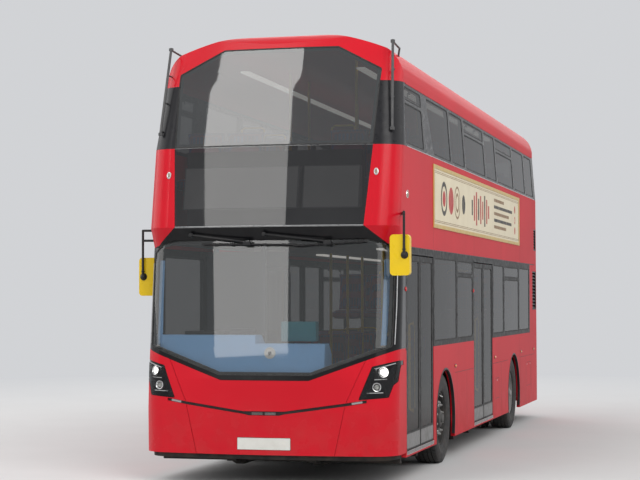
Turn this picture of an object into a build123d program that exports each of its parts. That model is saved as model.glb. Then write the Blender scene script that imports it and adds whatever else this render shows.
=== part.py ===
from build123d import *
import os

# Two-deck low-floor city bus, a two-leaf entrance ahead of the front axle, a two-leaf exit amidships.
# Millimetres, +Z up, ground at Z = 0. The nose points to -Y, +X is the nearside (door side).
# Stations are distances behind the nose; at() turns one into a Y coordinate.

# Overall sizes
LENGTH = 10500
WIDTH = 2520
HEIGHT = 4425
HALF = WIDTH / 2
NOSE = -LENGTH / 2

# Running gear
WHEELBASE = 5200
FRONT_AXLE = 2700
REAR_AXLE = FRONT_AXLE + WHEELBASE
TYRE_R = 478
TYRE_W = 275
RIM_R = 286
RIM_T = 14
WHEEL_INSET = 32
TWIN_GAP = 50
KINGPIN_INSET = 150
KINGPIN_R = 24
PIN_CLEAR = 0.5
SPINDLE_R = 38
HUB_R = 105
HUB_CLEAR = 0.5
ARCH_R = 545
ARCH_Z = 460
BOX_HALF = 620
BOX_TOP = 1060
BOX_T = 20
FRONT_BOX_X = 545
REAR_BOX_X = 575

# Levels
SKIRT_Z = 245
BUMPER_Z = 290
FLOOR_Z = 290
FLOOR_T = 45
REAR_FLOOR_Z = 600
REAR_STEP = 6900
ENGINE_TOP_Z = 1300
ENGINE_WALL = 8950
BULKHEAD = 9560
SILL_Z = 1270
LOWER_PANE_Z = 1320
LOWER_PANE_TOP = 2195
DECK_JOINT_Z = 2270
UPPER_FLOOR_Z = 2430
UPPER_FLOOR_T = 120
UPPER_SILL_Z = 3243
UPPER_PANE_Z = 3275
UPPER_PANE_TOP = 3845
ROOF_JOINT_Z = 3880
CROWN_Z = 3870

# Shell
WALL = 45
GLASS_T = 8
GLASS_INSET = 5
SHUT = 0.4
PANE_R = 45
GROOVE = 5
GROOVE_DEEP = 9

# Roof section
SHOULDER_X = 1214
CORNICE_X = 1060
CORNICE_Z = 4215

# Body levels
# Columns: z, nose set back, half width, x where the nose corner starts, corner depth, tail set forward
LOWER_LEVELS = (
    (SKIRT_Z, 15, HALF, 1010, 280, 0),
    (700, 0, HALF, 1010, 280, 0),
    (1000, 15, HALF, 1010, 280, 5),
    (DECK_JOINT_Z, 165, HALF, 1010, 280, 30),
)
UPPER_LEVELS = (
    (DECK_JOINT_Z, 185, HALF, 1010, 260, 30),
    (2460, 85, HALF, 1020, 250, 35),
    (UPPER_SILL_Z, 245, HALF, 1040, 230, 60),
    (CROWN_Z, 440, SHOULDER_X, 1010, 220, 95),
    (HEIGHT + 50, 725, SHOULDER_X, 1010, 220, 146),
)
SCREEN_HEAD_Z = 2338
SCREEN_RAKE = (LOWER_LEVELS[-1][1] - LOWER_LEVELS[-2][1]) / (LOWER_LEVELS[-1][0] - LOWER_LEVELS[-2][0])
SCREEN_BACK = LOWER_LEVELS[-1][1] + SCREEN_RAKE * (SCREEN_HEAD_Z + 10 - DECK_JOINT_Z)
SCREEN_TOP = (SCREEN_HEAD_Z + 10, SCREEN_BACK, HALF, 1010, 280, 30)
NOSE_SWEEP = 80
TAIL_EDGE_X = 1080
TAIL_SWEEP = 25
TAIL_CORNER = 150
NOSE_END = 565
TAIL_START = 10300

# Front view break lines, one side of the centre
SCREEN_FOOT = ((435, 993), (1300, 1305))
CREASE = ((200, 702), (800, 786), (960, 812), (1300, 820))
STRIP_H = 26
STRIP_DEEP = 22
STRIP_T = 7
STRIP_END = 985
NOTCH_X = 150
NOTCH_Z = 664
CENTRE_SEAM = ((970, 1186), (790, 785), (672, 250))

# Doorways, as stations of their fore and aft posts
ENTRANCE = (600, 2000)
EXIT = (4560, 6010)
DOOR_FOOT_Z = 302
DOOR_HEAD_Z = 2190
DOOR_T = 40
DOOR_SKIN = 4
DOOR_RAIL = 50
DOOR_KICK = 170
DOOR_GAP = 8
LEAF_GAP = 16
HINGE_IN = 14
HINGE_BACK = 42
HINGE_R = 12.5
DOOR_SWING = 88

# Side windows. Columns: fore edge at the foot, fore edge at the head, aft edge, height of the top light
LOWER_FORE_PANES = ((2075, 2075, 3380, 0), (3460, 3460, 4480, 150))
LOWER_MID_PANES = ((4570, 4570, 5250, 0), (5330, 5330, 5960, 0))
LOWER_AFT_PANES = ((6090, 6090, 6960, 0), (7050, 7050, 8380, 150), (8470, 8470, 9480, 0))
DRIVER_PANES = ((660, 660, 1890, 0),)
UPPER_PANES = (
    (600, 720, 1540, 140),
    (2080, 1800, 3080, 0),
    (3160, 3160, 4000, 0),
    (4090, 4090, 5500, 140),
    (5590, 5590, 6420, 0),
    (6510, 6510, 7960, 140),
    (8050, 8050, 9140, 0),
    (9230, 9230, 10020, 0),
)
TRANSOM = 26


def at(station):
    """Y of a station behind the nose."""
    return NOSE + station


def box(x0, x1, s0, s1, z0, z1):
    """Block between two X values, two stations and two heights."""
    return Pos((x0 + x1) / 2, at((s0 + s1) / 2), (z0 + z1) / 2) * Box(x1 - x0, s1 - s0, z1 - z0)


def prism_y(points, s0, s1, radius=0):
    """Front-view outline of (x, z) points, run from one station to another."""
    face = make_face(Polyline(*[(x, at(s0), z) for x, z in points], close=True))
    if radius:
        face = face.face().fillet_2d(radius, face.vertices())
    return extrude(face, amount=s1 - s0, dir=(0, 1, 0))


def prism_x(points, x0, x1, radius=0):
    """Side-view outline of (station, z) points, run from one X to another."""
    face = make_face(Polyline(*[(x0, at(s), z) for s, z in points], close=True))
    if radius:
        face = face.face().fillet_2d(radius, face.vertices())
    return extrude(face, amount=x1 - x0, dir=(1, 0, 0))


def prism_z(points, z0, z1):
    """Plan outline of (x, station) points, run from one height to another."""
    face = make_face(Polyline(*[(x, at(s), z0) for x, s in points], close=True))
    return extrude(face, amount=z1 - z0, dir=(0, 0, 1))


def bar(start, end, r):
    """Round bar between two (x, station, z) points."""
    a = Vector(start[0], at(start[1]), start[2])
    b = Vector(end[0], at(end[1]), end[2])
    plane = Plane(origin=a, z_dir=b - a)
    return extrude(plane * Circle(r), amount=(b - a).length)


def barrel(s, z, r, x0, x1):
    """Round bar along X."""
    return Pos((x0 + x1) / 2, at(s), z) * Rot(0, 90, 0) * Cylinder(r, x1 - x0)


def mirrored(shape):
    """The same piece on the other side of the bus."""
    return mirror(shape, Plane.YZ)


def nose_face(x, back):
    """Station of the swept nose at x where its middle is set back."""
    return back + NOSE_SWEEP * (x / 1010) ** 2


def loose(*shapes):
    """Pieces kept apart in one node."""
    solids = []
    for shape in shapes:
        solids.extend(shape.solids())
    return Compound(children=solids)


def fused(shapes):
    """Pieces joined into one."""
    total = None
    for shape in shapes:
        total = shape if total is None else total + shape
    return total


def sym(points):
    """Closed outline from the points of one side: that side, then the other side backwards."""
    return [(x, z) for x, z in points] + [(-x, z) for x, z in reversed(points)]


def plan_section(level, inset):
    """Closed plan outline at one level: swept nose, rounded corners, straight flanks, bowed tail."""
    z, back, half, edge, depth, tail = level
    front = at(back + inset)
    rear = -NOSE - tail - inset
    half = half - inset
    edge = edge - inset * 0.4
    edge_y = front + NOSE_SWEEP
    flank_y = edge_y + depth
    mid_x = edge + (half - edge) * 0.72
    mid_y = edge_y + depth * 0.3
    tail_edge = TAIL_EDGE_X - inset * 0.4
    tail_y = rear - TAIL_SWEEP
    tail_flank = tail_y - TAIL_CORNER
    tail_mid_x = tail_edge + (half - tail_edge) * 0.72
    tail_mid_y = tail_y - TAIL_CORNER * 0.28
    return make_face(
        Wire(
            [
                ThreePointArc((-edge, edge_y, z), (0, front, z), (edge, edge_y, z)),
                ThreePointArc((edge, edge_y, z), (mid_x, mid_y, z), (half, flank_y, z)),
                Line((half, flank_y, z), (half, tail_flank, z)),
                ThreePointArc((half, tail_flank, z), (tail_mid_x, tail_mid_y, z), (tail_edge, tail_y, z)),
                ThreePointArc((tail_edge, tail_y, z), (0, rear, z), (-tail_edge, tail_y, z)),
                ThreePointArc(
                    (-tail_edge, tail_y, z), (-tail_mid_x, tail_mid_y, z), (-half, tail_flank, z)
                ),
                Line((-half, tail_flank, z), (-half, flank_y, z)),
                ThreePointArc((-half, flank_y, z), (-mid_x, mid_y, z), (-edge, edge_y, z)),
            ]
        )
    )


def envelope(levels, inset):
    """Solid under the skin, moved inwards by inset, through a table of levels."""
    slabs = []
    for low, high in zip(levels, levels[1:]):
        slabs.append(loft([plan_section(low, inset), plan_section(high, inset)], ruled=True))
    return fused(slabs)


def roof_form(inset):
    """Everything under the roof skin: cornice arcs and crown across, domed nose and tail along."""
    y0 = NOSE - 100
    sill = (HALF - inset, y0, UPPER_SILL_Z)
    crown = (SHOULDER_X - inset, y0, CROWN_Z)
    bulge = (SHOULDER_X - 42 - inset * 0.9, y0, CROWN_Z + 215 - inset * 0.3)
    cornice = (CORNICE_X - inset * 0.6, y0, CORNICE_Z - inset * 0.8)
    top = (0, y0, HEIGHT - inset)

    def other(point):
        return (-point[0], point[1], point[2])

    across = Wire(
        [
            Line((-HALF, y0, 0), (HALF, y0, 0)),
            Line((HALF, y0, 0), sill),
            Line(sill, crown),
            ThreePointArc(crown, bulge, cornice),
            ThreePointArc(cornice, top, other(cornice)),
            ThreePointArc(other(cornice), other(bulge), other(crown)),
            Line(other(crown), other(sill)),
            Line(other(sill), (-HALF, y0, 0)),
        ]
    )
    body = extrude(make_face(across), amount=LENGTH + 200, dir=(0, 1, 0))
    x0 = -HALF - 50
    brow = (x0, at(590 + inset), HEIGHT - 225)
    roll = (x0, at(652 + inset * 0.85), HEIGHT - 119 - inset * 0.5)
    dome = (x0, at(760 + inset * 0.4), HEIGHT - 53 - inset * 0.9)
    haunch = (x0, at(980 + inset * 0.1), HEIGHT - 13 - inset)
    crest = (x0, at(1300), HEIGHT - inset)
    tail_crest = (x0, at(LENGTH - 850), HEIGHT - inset)
    tail_dome = (x0, at(LENGTH - 340 - inset * 0.6), HEIGHT - 85 - inset * 0.8)
    tail_brow = (x0, at(LENGTH - 125 - inset), HEIGHT - 290)
    along = Wire(
        [
            Line((x0, at(-60), 0), (x0, at(-60), 3900)),
            Line((x0, at(-60), 3900), brow),
            ThreePointArc(brow, roll, dome),
            ThreePointArc(dome, haunch, crest),
            Line(crest, tail_crest),
            ThreePointArc(tail_crest, tail_dome, tail_brow),
            Line(tail_brow, (x0, at(LENGTH + 60), 3900)),
            Line((x0, at(LENGTH + 60), 3900), (x0, at(LENGTH + 60), 0)),
            Line((x0, at(LENGTH + 60), 0), (x0, at(-60), 0)),
        ]
    )
    return body & extrude(make_face(along), amount=2 * HALF + 100, dir=(1, 0, 0))


def ceiling_z(x):
    """Height of the upper ceiling's arc over x."""
    edge = CORNICE_X - WALL * 0.6
    rise = HEIGHT - WALL - CORNICE_Z + WALL * 0.8
    r = (edge * edge + rise * rise) / (2 * rise)
    return HEIGHT - WALL - r + (r * r - x * x) ** 0.5


def lower_skin(outer, inner):
    """Shell of the lower body between two insets, open below and above."""
    return envelope(LOWER_LEVELS, outer) - envelope(LOWER_LEVELS, inner)


def upper_skin(outer, inner):
    """Shell of the upper body between two insets, open below."""
    core = envelope(UPPER_LEVELS, inner) & roof_form(inner)
    return (envelope(UPPER_LEVELS, outer) & roof_form(outer)) - core


LOWER_SOLID = envelope(LOWER_LEVELS, 0)
LOWER_SHELL = lower_skin(0, WALL)
UPPER_SHELL = upper_skin(0, WALL)
LOWER_CORE = envelope(LOWER_LEVELS, WALL)
UPPER_CORE = envelope(UPPER_LEVELS, WALL) & roof_form(WALL)
LOWER_PANE = lower_skin(GLASS_INSET, GLASS_INSET + GLASS_T)
UPPER_PANE = upper_skin(GLASS_INSET, GLASS_INSET + GLASS_T)
LOWER_GROOVE = lower_skin(-4, GROOVE_DEEP)
UPPER_GROOVE = upper_skin(-4, GROOVE_DEEP)
nodes = {}


def pane_blocks(panes, z0, z1, clear):
    """Blocks through the nearside wall for a row of windows, each with its top light if it has one."""
    blocks = []
    for fore_foot, fore_head, aft, light in panes:
        rake = (fore_head - fore_foot) / (z1 - z0)
        cuts = [(z0, z1)]
        if light:
            cuts = [(z0, z1 - light - TRANSOM), (z1 - light, z1)]
        for low, high in cuts:
            outline = [
                (fore_foot + rake * (low - z0) + clear, low + clear),
                (aft - clear, low + clear),
                (aft - clear, high - clear),
                (fore_foot + rake * (high - z0) + clear, high - clear),
            ]
            blocks.append(prism_x(outline, HALF - 260, HALF + 60, min(PANE_R, (high - low) / 3)))
    return blocks


def seam(points):
    """Front-view strip, as wide as a shut line, along the points."""
    strips = []
    for (x0, z0), (x1, z1) in zip(points, points[1:]):
        run = ((x1 - x0) ** 2 + (z1 - z0) ** 2) ** 0.5
        nx = -(z1 - z0) / run * GROOVE / 2
        nz = (x1 - x0) / run * GROOVE / 2
        corners = [(x0 + nx, z0 + nz), (x1 + nx, z1 + nz), (x1 - nx, z1 - nz), (x0 - nx, z0 - nz)]
        strips.append(prism_y(corners, -60, NOSE_END))
    return fused(strips)


# Nose, lower half
nose_lower = LOWER_SHELL & box(-HALF - 10, HALF + 10, -20, NOSE_END, BUMPER_Z, DECK_JOINT_Z)
NOSE_CUT = (-60, 700)
below_screen = prism_y(sym([(SCREEN_FOOT[1][0], 0), *reversed(SCREEN_FOOT)]), *NOSE_CUT)
below_crease = prism_y(sym([(CREASE[3][0], 0), *reversed(CREASE)]), *NOSE_CUT)
centre_block = prism_y(sym([(CENTRE_SEAM[2][0], 0), *reversed(CENTRE_SEAM), (1050, 1400)]), *NOSE_CUT)
grooves = fused([seam([(-x, z) for x, z in reversed(CREASE[:3])] + list(CREASE[:3])), seam(CENTRE_SEAM)])
grooves = (grooves + seam([(-x, z) for x, z in CENTRE_SEAM])) & LOWER_GROOVE


def strip_outline(clear):
    """Front outline of the recess along the crease, deeper at the notch in its middle."""
    rise = (CREASE[2][1] - CREASE[1][1]) / (CREASE[2][0] - CREASE[1][0])
    end_z = CREASE[1][1] + (STRIP_END - CREASE[1][0]) * rise
    side = [
        (NOTCH_X, NOTCH_Z + clear),
        (CREASE[0][0], CREASE[0][1] - STRIP_H + clear),
        (CREASE[1][0], CREASE[1][1] - STRIP_H + clear),
        (STRIP_END - clear, end_z - STRIP_H + clear),
        (STRIP_END - clear, end_z - clear),
        (CREASE[1][0], CREASE[1][1] - clear),
        (CREASE[0][0], CREASE[0][1] - clear),
    ]
    return side + [(-x, z) for x, z in reversed(side)]


def skin_station(x, z):
    """Station of the lower skin at a point of the front view."""
    probe = bar((x, -60, z), (x, NOSE_END, z), 1) & LOWER_SOLID
    return probe.bounding_box().min.Y - NOSE


def normal_bar(x, z, depth0, depth1, r):
    """Round bar square to the skin at a point of the front view, between two depths under it."""
    slope = (skin_station(x + 8, z) - skin_station(x - 8, z)) / 16
    run = (1 + slope**2) ** 0.5
    s = skin_station(x, z)
    ends = [(x - depth * slope / run, s + depth / run, z) for depth in (depth0, depth1)]
    return bar(ends[0], ends[1], r)


strip_cut = lower_skin(-4, STRIP_DEEP) & prism_y(strip_outline(0), -60, 300)
strip_base = lower_skin(STRIP_DEEP - STRIP_T, STRIP_DEEP - SHUT) & prism_y(strip_outline(SHUT), -60, 300)
nodes["crease_trim"] = strip_base

# Headlamp cluster: outline, then the two lamps. Columns: x, z, bowl radius at the skin, bulb radius
LAMP_OUTLINE = ((905, 815), (1180, 838), (1216, 952), (1248, 985), (1264, 1186), (1030, 1130))
LAMPS = ((1136, 1077, 50, 30), (1078, 938, 40, 22))
LAMP_R = 10
BOWL_DEEP = 26
BULB_PROUD = 14
lamp_mid_x = sum(x for x, z in LAMP_OUTLINE) / len(LAMP_OUTLINE)
lamp_mid_z = sum(z for x, z in LAMP_OUTLINE) / len(LAMP_OUTLINE)
lamp_block = prism_y(LAMP_OUTLINE, -60, 460, LAMP_R)
LAMP_SMALL = [
    (x - 3 * SHUT * (x - lamp_mid_x) / 100, z - 3 * SHUT * (z - lamp_mid_z) / 100) for x, z in LAMP_OUTLINE
]
lamp_plug = prism_y(LAMP_SMALL, -60, 460, LAMP_R)
PLATE = (520, 111, 396)
PLATE_X = PLATE[0] / 2 + 4
PLATE_Z = PLATE[1] / 2 + 4
plate_pocket = box(-PLATE_X, PLATE_X, -60, 26, PLATE[2] - PLATE_Z, PLATE[2] + PLATE_Z)

face_part = nose_lower & below_screen
upper_face = face_part - below_crease - grooves - strip_cut
nodes["front_centre_panel"] = upper_face & centre_block
corners = upper_face - centre_block - lamp_block - mirrored(lamp_block)
nodes["front_corner_panels"] = corners
bumper = (face_part & below_crease) - grooves - strip_cut - plate_pocket
nodes["front_bumper"] = (bumper & centre_block) + (bumper - centre_block)
lamp_body = lower_skin(3, WALL - 3) & lamp_plug & box(0, HALF + 10, -20, NOSE_END, 0, 1400)
for x, z, bowl_r, bulb_r in LAMPS:
    bowl = normal_bar(x, z, -60, BOWL_DEEP, bowl_r)
    bulb = normal_bar(x, z, BOWL_DEEP - BULB_PROUD, BOWL_DEEP + 4, bulb_r)
    lamp_body = (lamp_body - bowl) + bulb
nodes["headlamp_units"] = loose(lamp_body, mirrored(lamp_body))

# Lower windscreen and its surround, with the brow band over it
SCREEN_R = 30


def screen_outline(clear):
    """Front outline of the lower windscreen, drawn in by a clearance."""
    head = SCREEN_HEAD_Z - clear
    foot = [(455, 1040 + clear), (1205 - clear, 1312 + clear)]
    return sym(foot + [(1214 - clear, 2120), (1196 - clear, head - 113), (1110, head - 38), (960, head)])


screen_block = prism_y(screen_outline(0), -60, 560, SCREEN_R)
surround = nose_lower - below_screen - screen_block
BROW_BAND = ((1230, 2200), (1230, DECK_JOINT_Z), (1150, 2290), (942, 2463))
brow_zone = prism_y(sym(BROW_BAND), -60, NOSE_END)
nose_upper = UPPER_SHELL & box(-HALF - 10, HALF + 10, -20, NOSE_END, DECK_JOINT_Z, UPPER_SILL_Z)
nodes["windscreen_surround"] = surround + ((nose_upper & brow_zone) - screen_block)
screen_levels = (*LOWER_LEVELS[:-1], SCREEN_TOP)
screen_skin = envelope(screen_levels, GLASS_INSET) - envelope(screen_levels, GLASS_INSET + GLASS_T)
nodes["lower_windscreen"] = screen_skin & prism_y(screen_outline(SHUT), -60, 560, SCREEN_R)

# Destination glass between the red brow panels
DEST_FOOT = (942, 2463)
DEST_HEAD_X = 1000
DEST_SKIN = (2, 20)


def dest_outline(clear):
    """Front outline of the destination glass, drawn in by a clearance."""
    return sym([(DEST_FOOT[0] - clear, DEST_FOOT[1] + clear), (DEST_HEAD_X - clear, UPPER_SILL_Z - clear)])


dest_zone = prism_y(dest_outline(0), -60, 600)
dest_face = envelope(UPPER_LEVELS, DEST_SKIN[0]) & prism_y(dest_outline(SHUT), -60, 600)
nodes["destination_glass"] = dest_face - envelope(UPPER_LEVELS, DEST_SKIN[1])
nodes["brow_panels"] = nose_upper - brow_zone - dest_zone

# Upper windscreen
UPPER_FOOT_Z = UPPER_SILL_Z + 6
UPPER_SCREEN_R = 25


def upper_screen_outline(clear):
    """Front outline of the upper windscreen, drawn in by a clearance."""
    return sym([(1000 - clear, UPPER_FOOT_Z + clear), (1032 - clear, 4005 - clear), (585, 4245 - clear)])


upper_screen_block = prism_y(upper_screen_outline(0), -60, 1000, UPPER_SCREEN_R)
nodes["upper_windscreen"] = UPPER_PANE & prism_y(upper_screen_outline(SHUT), -60, 1000, UPPER_SCREEN_R)

# Upper window band: pillars beside the windscreen, then framed side windows
upper_holes = fused(pane_blocks(UPPER_PANES, UPPER_PANE_Z, UPPER_PANE_TOP, 0))
band = UPPER_SHELL & box(-HALF - 10, HALF + 10, -20, TAIL_START, UPPER_SILL_Z, ROOF_JOINT_Z)
band = band - upper_screen_block - upper_holes - mirrored(upper_holes)
nodes["upper_window_frames"] = band
upper_glass = UPPER_PANE & fused(pane_blocks(UPPER_PANES, UPPER_PANE_Z, UPPER_PANE_TOP, SHUT))

# Upper red panels between the decks
nearside_upper = UPPER_SHELL & box(0, HALF + 10, NOSE_END, TAIL_START, DECK_JOINT_Z, UPPER_SILL_Z)
VENT = (10030, 10270, 2480, 2800)
VENT_LOW = (9870, 10270, 1600, 2170)
vent_hole = box(HALF - 60, HALF + 10, *VENT)
nearside_upper = nearside_upper - vent_hole
nodes["upper_side_panels"] = loose(nearside_upper, mirrored(nearside_upper))

# Roof
roof_zone = box(-HALF - 10, HALF + 10, -20, LENGTH + 10, ROOF_JOINT_Z, HEIGHT + 10)
nodes["roof"] = (UPPER_SHELL & roof_zone) - upper_screen_block

# Lower side panels and window frames
arches = fused(
    [
        shape
        for axle in (FRONT_AXLE, REAR_AXLE)
        for shape in (
            barrel(axle, ARCH_Z, ARCH_R, HALF - 100, HALF + 20),
            box(HALF - 100, HALF + 20, axle - ARCH_R, axle + ARCH_R, SKIRT_Z - 10, ARCH_Z),
        )
    ]
)
flank = LOWER_SHELL & box(0, HALF + 10, NOSE_END, TAIL_START, SKIRT_Z, DECK_JOINT_Z)
SASH_END = 9560
doorways = fused(
    [
        box(HALF - 100, HALF + 10, ENTRANCE[0], ENTRANCE[1], FLOOR_Z - 2, DOOR_HEAD_Z + 10),
        box(HALF - 100, HALF + 10, EXIT[0], EXIT[1], FLOOR_Z - 2, DOOR_HEAD_Z + 10),
    ]
)
vent_low_hole = box(HALF - 60, HALF + 10, *VENT_LOW)
sash_zone = box(0, HALF + 10, NOSE_END, SASH_END, SILL_Z, DECK_JOINT_Z)
near_red = flank - sash_zone - arches - doorways - vent_low_hole
DRIVER_SILL_Z = 1120
driver_zone = box(0, HALF + 10, NOSE_END, 1960, DRIVER_SILL_Z, DECK_JOINT_Z)
off_red = flank - sash_zone - driver_zone - arches - vent_low_hole
nodes["lower_side_panels"] = loose(near_red, mirrored(off_red))
NEAR_PANES = LOWER_FORE_PANES + LOWER_AFT_PANES
OFF_PANES = LOWER_FORE_PANES + LOWER_MID_PANES + LOWER_AFT_PANES


def near_blocks(clear):
    """Blocks through the nearside for its lower windows."""
    return fused(pane_blocks(NEAR_PANES, LOWER_PANE_Z, LOWER_PANE_TOP, clear))


def off_blocks(clear):
    """Blocks, on the nearside, for the lower windows and the driver's window of the offside."""
    saloon = pane_blocks(OFF_PANES, LOWER_PANE_Z, LOWER_PANE_TOP, clear)
    return fused(saloon + pane_blocks(DRIVER_PANES, DRIVER_SILL_Z + 50, LOWER_PANE_TOP, clear))


near_sash = (flank & sash_zone) - doorways - near_blocks(0)
off_sash = (flank & (sash_zone + driver_zone)) - off_blocks(0)
nodes["lower_window_frames"] = loose(near_sash, mirrored(off_sash))
nodes["lower_side_glass"] = loose(LOWER_PANE & near_blocks(SHUT), LOWER_PANE & mirrored(off_blocks(SHUT)))

# Tail
tail_lower = LOWER_SHELL & box(-HALF - 10, HALF + 10, TAIL_START, LENGTH + 10, SKIRT_Z, DECK_JOINT_Z)
tail_upper = UPPER_SHELL & box(-HALF - 10, HALF + 10, TAIL_START, LENGTH + 10, DECK_JOINT_Z, ROOF_JOINT_Z)
FLAP = (880, 470, 1330)
FLAP_GAP = 7
flap_hole = box(-FLAP[0], FLAP[0], TAIL_START + 60, LENGTH + 20, FLAP[1], FLAP[2])
LAMP_TAIL = (1000, 1150, 560, 1240)
LAMP_TAIL_DEEP = 24
TAIL_ZONE = (LENGTH - 140, LENGTH + 20)


def lamp_column(clear):
    """Block round one rear lamp column, drawn in by a clearance."""
    x0, x1, z0, z1 = LAMP_TAIL
    return box(x0 + clear, x1 - clear, *TAIL_ZONE, z0 + clear, z1 - clear)


lamp_cut = lower_skin(-20, LAMP_TAIL_DEEP + SHUT) & lamp_column(0)
nodes["tail_lower_panel"] = tail_lower - flap_hole - lamp_cut - mirrored(lamp_cut)
lamp_solid = lower_skin(-4, LAMP_TAIL_DEEP) & lamp_column(SHUT)
nodes["tail_lamps"] = loose(lamp_solid, mirrored(lamp_solid))
flap_x = FLAP[0] - FLAP_GAP
flap_zone = box(-flap_x, flap_x, TAIL_START + 60, LENGTH + 20, FLAP[1] + FLAP_GAP, FLAP[2] - FLAP_GAP)
flap = lower_skin(0, 38) & flap_zone

# Hinges of the engine flap: a strap on the flap, a pin with two lugs on the panel over it
FLAP_PIVOT = (LENGTH + 0.5, FLAP[2] + 15)
FLAP_PIN_R = 8
FLAP_HINGES = (-600, 600)
STRAP_W = 40
LUG_W = 24
LUG_X = 34
pivot_s, pivot_z = FLAP_PIVOT
lugs = []
for x in FLAP_HINGES:
    x0, x1 = x - STRAP_W / 2, x + STRAP_W / 2
    strap = box(x0, x1, LENGTH - 26, pivot_s + 8, FLAP[2] - 70, FLAP[2] - 10) - envelope(LOWER_LEVELS, 3)
    strap = strap + box(x0, x1, pivot_s - 8, pivot_s + 8, FLAP[2] - 20, pivot_z)
    strap = strap + barrel(pivot_s, pivot_z, FLAP_PIN_R + 8, x0, x1)
    flap = flap + (strap - barrel(pivot_s, pivot_z, FLAP_PIN_R + PIN_CLEAR, x0 - 5, x1 + 5))
    lug = barrel(pivot_s, pivot_z, FLAP_PIN_R, x - LUG_X - LUG_W / 2, x + LUG_X + LUG_W / 2)
    for side in (x - LUG_X, x + LUG_X):
        cheek = (side - LUG_W / 2, side + LUG_W / 2, LENGTH - 60, pivot_s + 12, pivot_z - 12, pivot_z + 30)
        lug = lug + box(*cheek)
    lugs.append(lug)
lug_zone = box(-HALF, HALF, TAIL_START, LENGTH + 60, FLAP[2] + 2, DECK_JOINT_Z)
lug_pair = (fused(lugs) & lug_zone) - envelope(LOWER_LEVELS, 20)
nodes["tail_lower_panel"] = nodes["tail_lower_panel"] + lug_pair
nodes["engine_flap"] = flap

# Rear window
def tail_block(clear):
    """Block through the tail for its window, drawn in by a clearance."""
    corners = sym([(860 - clear, 3290 + clear), (840 - clear, 3830 - clear)])
    return prism_y(corners, TAIL_START, LENGTH + 60, PANE_R)


nodes["tail_upper_panel"] = tail_upper - tail_block(0)
tail_glass = UPPER_PANE & tail_block(SHUT)
nodes["upper_side_glass"] = loose(upper_glass, mirrored(upper_glass), tail_glass)


# Air louvres at the tail end of both flanks
def louvre(x1, s0, s1, z0, z1, blades):
    """Framed grille: a rim with sloping blades across it."""
    rim = box(x1 - 40, x1, s0 + SHUT, s1 - SHUT, z0 + SHUT, z1 - SHUT)
    rim = rim - box(x1 - 50, x1 + 5, s0 + 18, s1 - 18, z0 + 18, z1 - 18)
    pitch = (z1 - z0 - 36) / blades
    slats = [rim]
    for count in range(blades):
        z = z0 + 18 + pitch * (count + 0.12)
        outline = [(x1 - 3, z), (x1 - 3, z + 6), (x1 - 34, z + pitch * 0.7 + 6), (x1 - 34, z + pitch * 0.7)]
        slats.append(prism_y(outline, s0 + 10, s1 - 10))
    return fused(slats)


vent_high = louvre(HALF - 3, *VENT, 7)
vent_low = louvre(HALF - 3, *VENT_LOW, 11)
nodes["engine_louvres"] = loose(vent_high, vent_low, mirrored(vent_high), mirrored(vent_low))

# Floors, with the rear one a step higher
SHEET_T = 20
floor = LOWER_CORE & box(-HALF, HALF, 0, REAR_STEP, FLOOR_Z - FLOOR_T, FLOOR_Z)
rear_floor = LOWER_CORE & box(
    -HALF, HALF, REAR_STEP - SHEET_T, ENGINE_WALL - SHEET_T, REAR_FLOOR_Z - FLOOR_T, REAR_FLOOR_Z
)
riser = LOWER_CORE & box(-HALF, HALF, REAR_STEP - SHEET_T, REAR_STEP, FLOOR_Z - FLOOR_T, REAR_FLOOR_Z)
base = fused([floor, rear_floor, riser])


# Housings over the wheels, let into the floors
def housing_block(axle, inner_x, inset):
    """Outside of the housing over one nearside wheel, or its room with an inset."""
    return box(inner_x + inset, HALF, axle - BOX_HALF + inset, axle + BOX_HALF - inset, 0, BOX_TOP - inset)


housings = []
for axle, inner_x, foot_z in (
    (FRONT_AXLE, FRONT_BOX_X, FLOOR_Z - FLOOR_T),
    (REAR_AXLE, REAR_BOX_X, REAR_FLOOR_Z - FLOOR_T),
):
    block = housing_block(axle, inner_x, 0)
    base = base - block - mirrored(block)
    sheet = block - housing_block(axle, inner_x, BOX_T) - box(0, HALF, 0, LENGTH, 0, foot_z)
    housings.append(sheet & LOWER_CORE)
nodes["lower_floor"] = base
nodes["wheel_housings"] = loose(*housings, *[mirrored(sheet) for sheet in housings])

# Cover over the engine: fore wall, lid and bulkhead
engine_wall = box(-HALF, HALF, ENGINE_WALL - SHEET_T, ENGINE_WALL, REAR_FLOOR_Z - FLOOR_T, ENGINE_TOP_Z)
lid_span = (ENGINE_WALL - SHEET_T, BULKHEAD + SHEET_T)
engine_lid = box(-HALF, HALF, *lid_span, ENGINE_TOP_Z - SHEET_T, ENGINE_TOP_Z)
bulkhead = box(-HALF, HALF, BULKHEAD, BULKHEAD + SHEET_T, ENGINE_TOP_Z - SHEET_T, DECK_JOINT_Z - 1)
nodes["engine_cover"] = (engine_wall + engine_lid + bulkhead) & LOWER_CORE

# Chassis frame under the floor
RAIL_X = 400
RAIL_W = 80
RAIL_Z = 150
BEAM_FOOT = 128
BEAM_TOP = 188
ENGINE_SEAT_Z = 300
rail = prism_x(
    [
        (420, RAIL_Z + 40),
        (560, RAIL_Z),
        (FRONT_AXLE - 300, RAIL_Z),
        (FRONT_AXLE - 140, BEAM_TOP + 6),
        (FRONT_AXLE + 140, BEAM_TOP + 6),
        (FRONT_AXLE + 300, RAIL_Z),
        (REAR_AXLE + 450, RAIL_Z),
        (REAR_AXLE + 800, ENGINE_SEAT_Z - 100),
        (10150, ENGINE_SEAT_Z - 100),
        (10150, ENGINE_SEAT_Z),
        (REAR_AXLE + 750, ENGINE_SEAT_Z),
        (REAR_AXLE + 450, FLOOR_Z - FLOOR_T),
        (420, FLOOR_Z - FLOOR_T),
    ],
    RAIL_X - RAIL_W / 2,
    RAIL_X + RAIL_W / 2,
)
CROSS_W = 60
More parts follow.
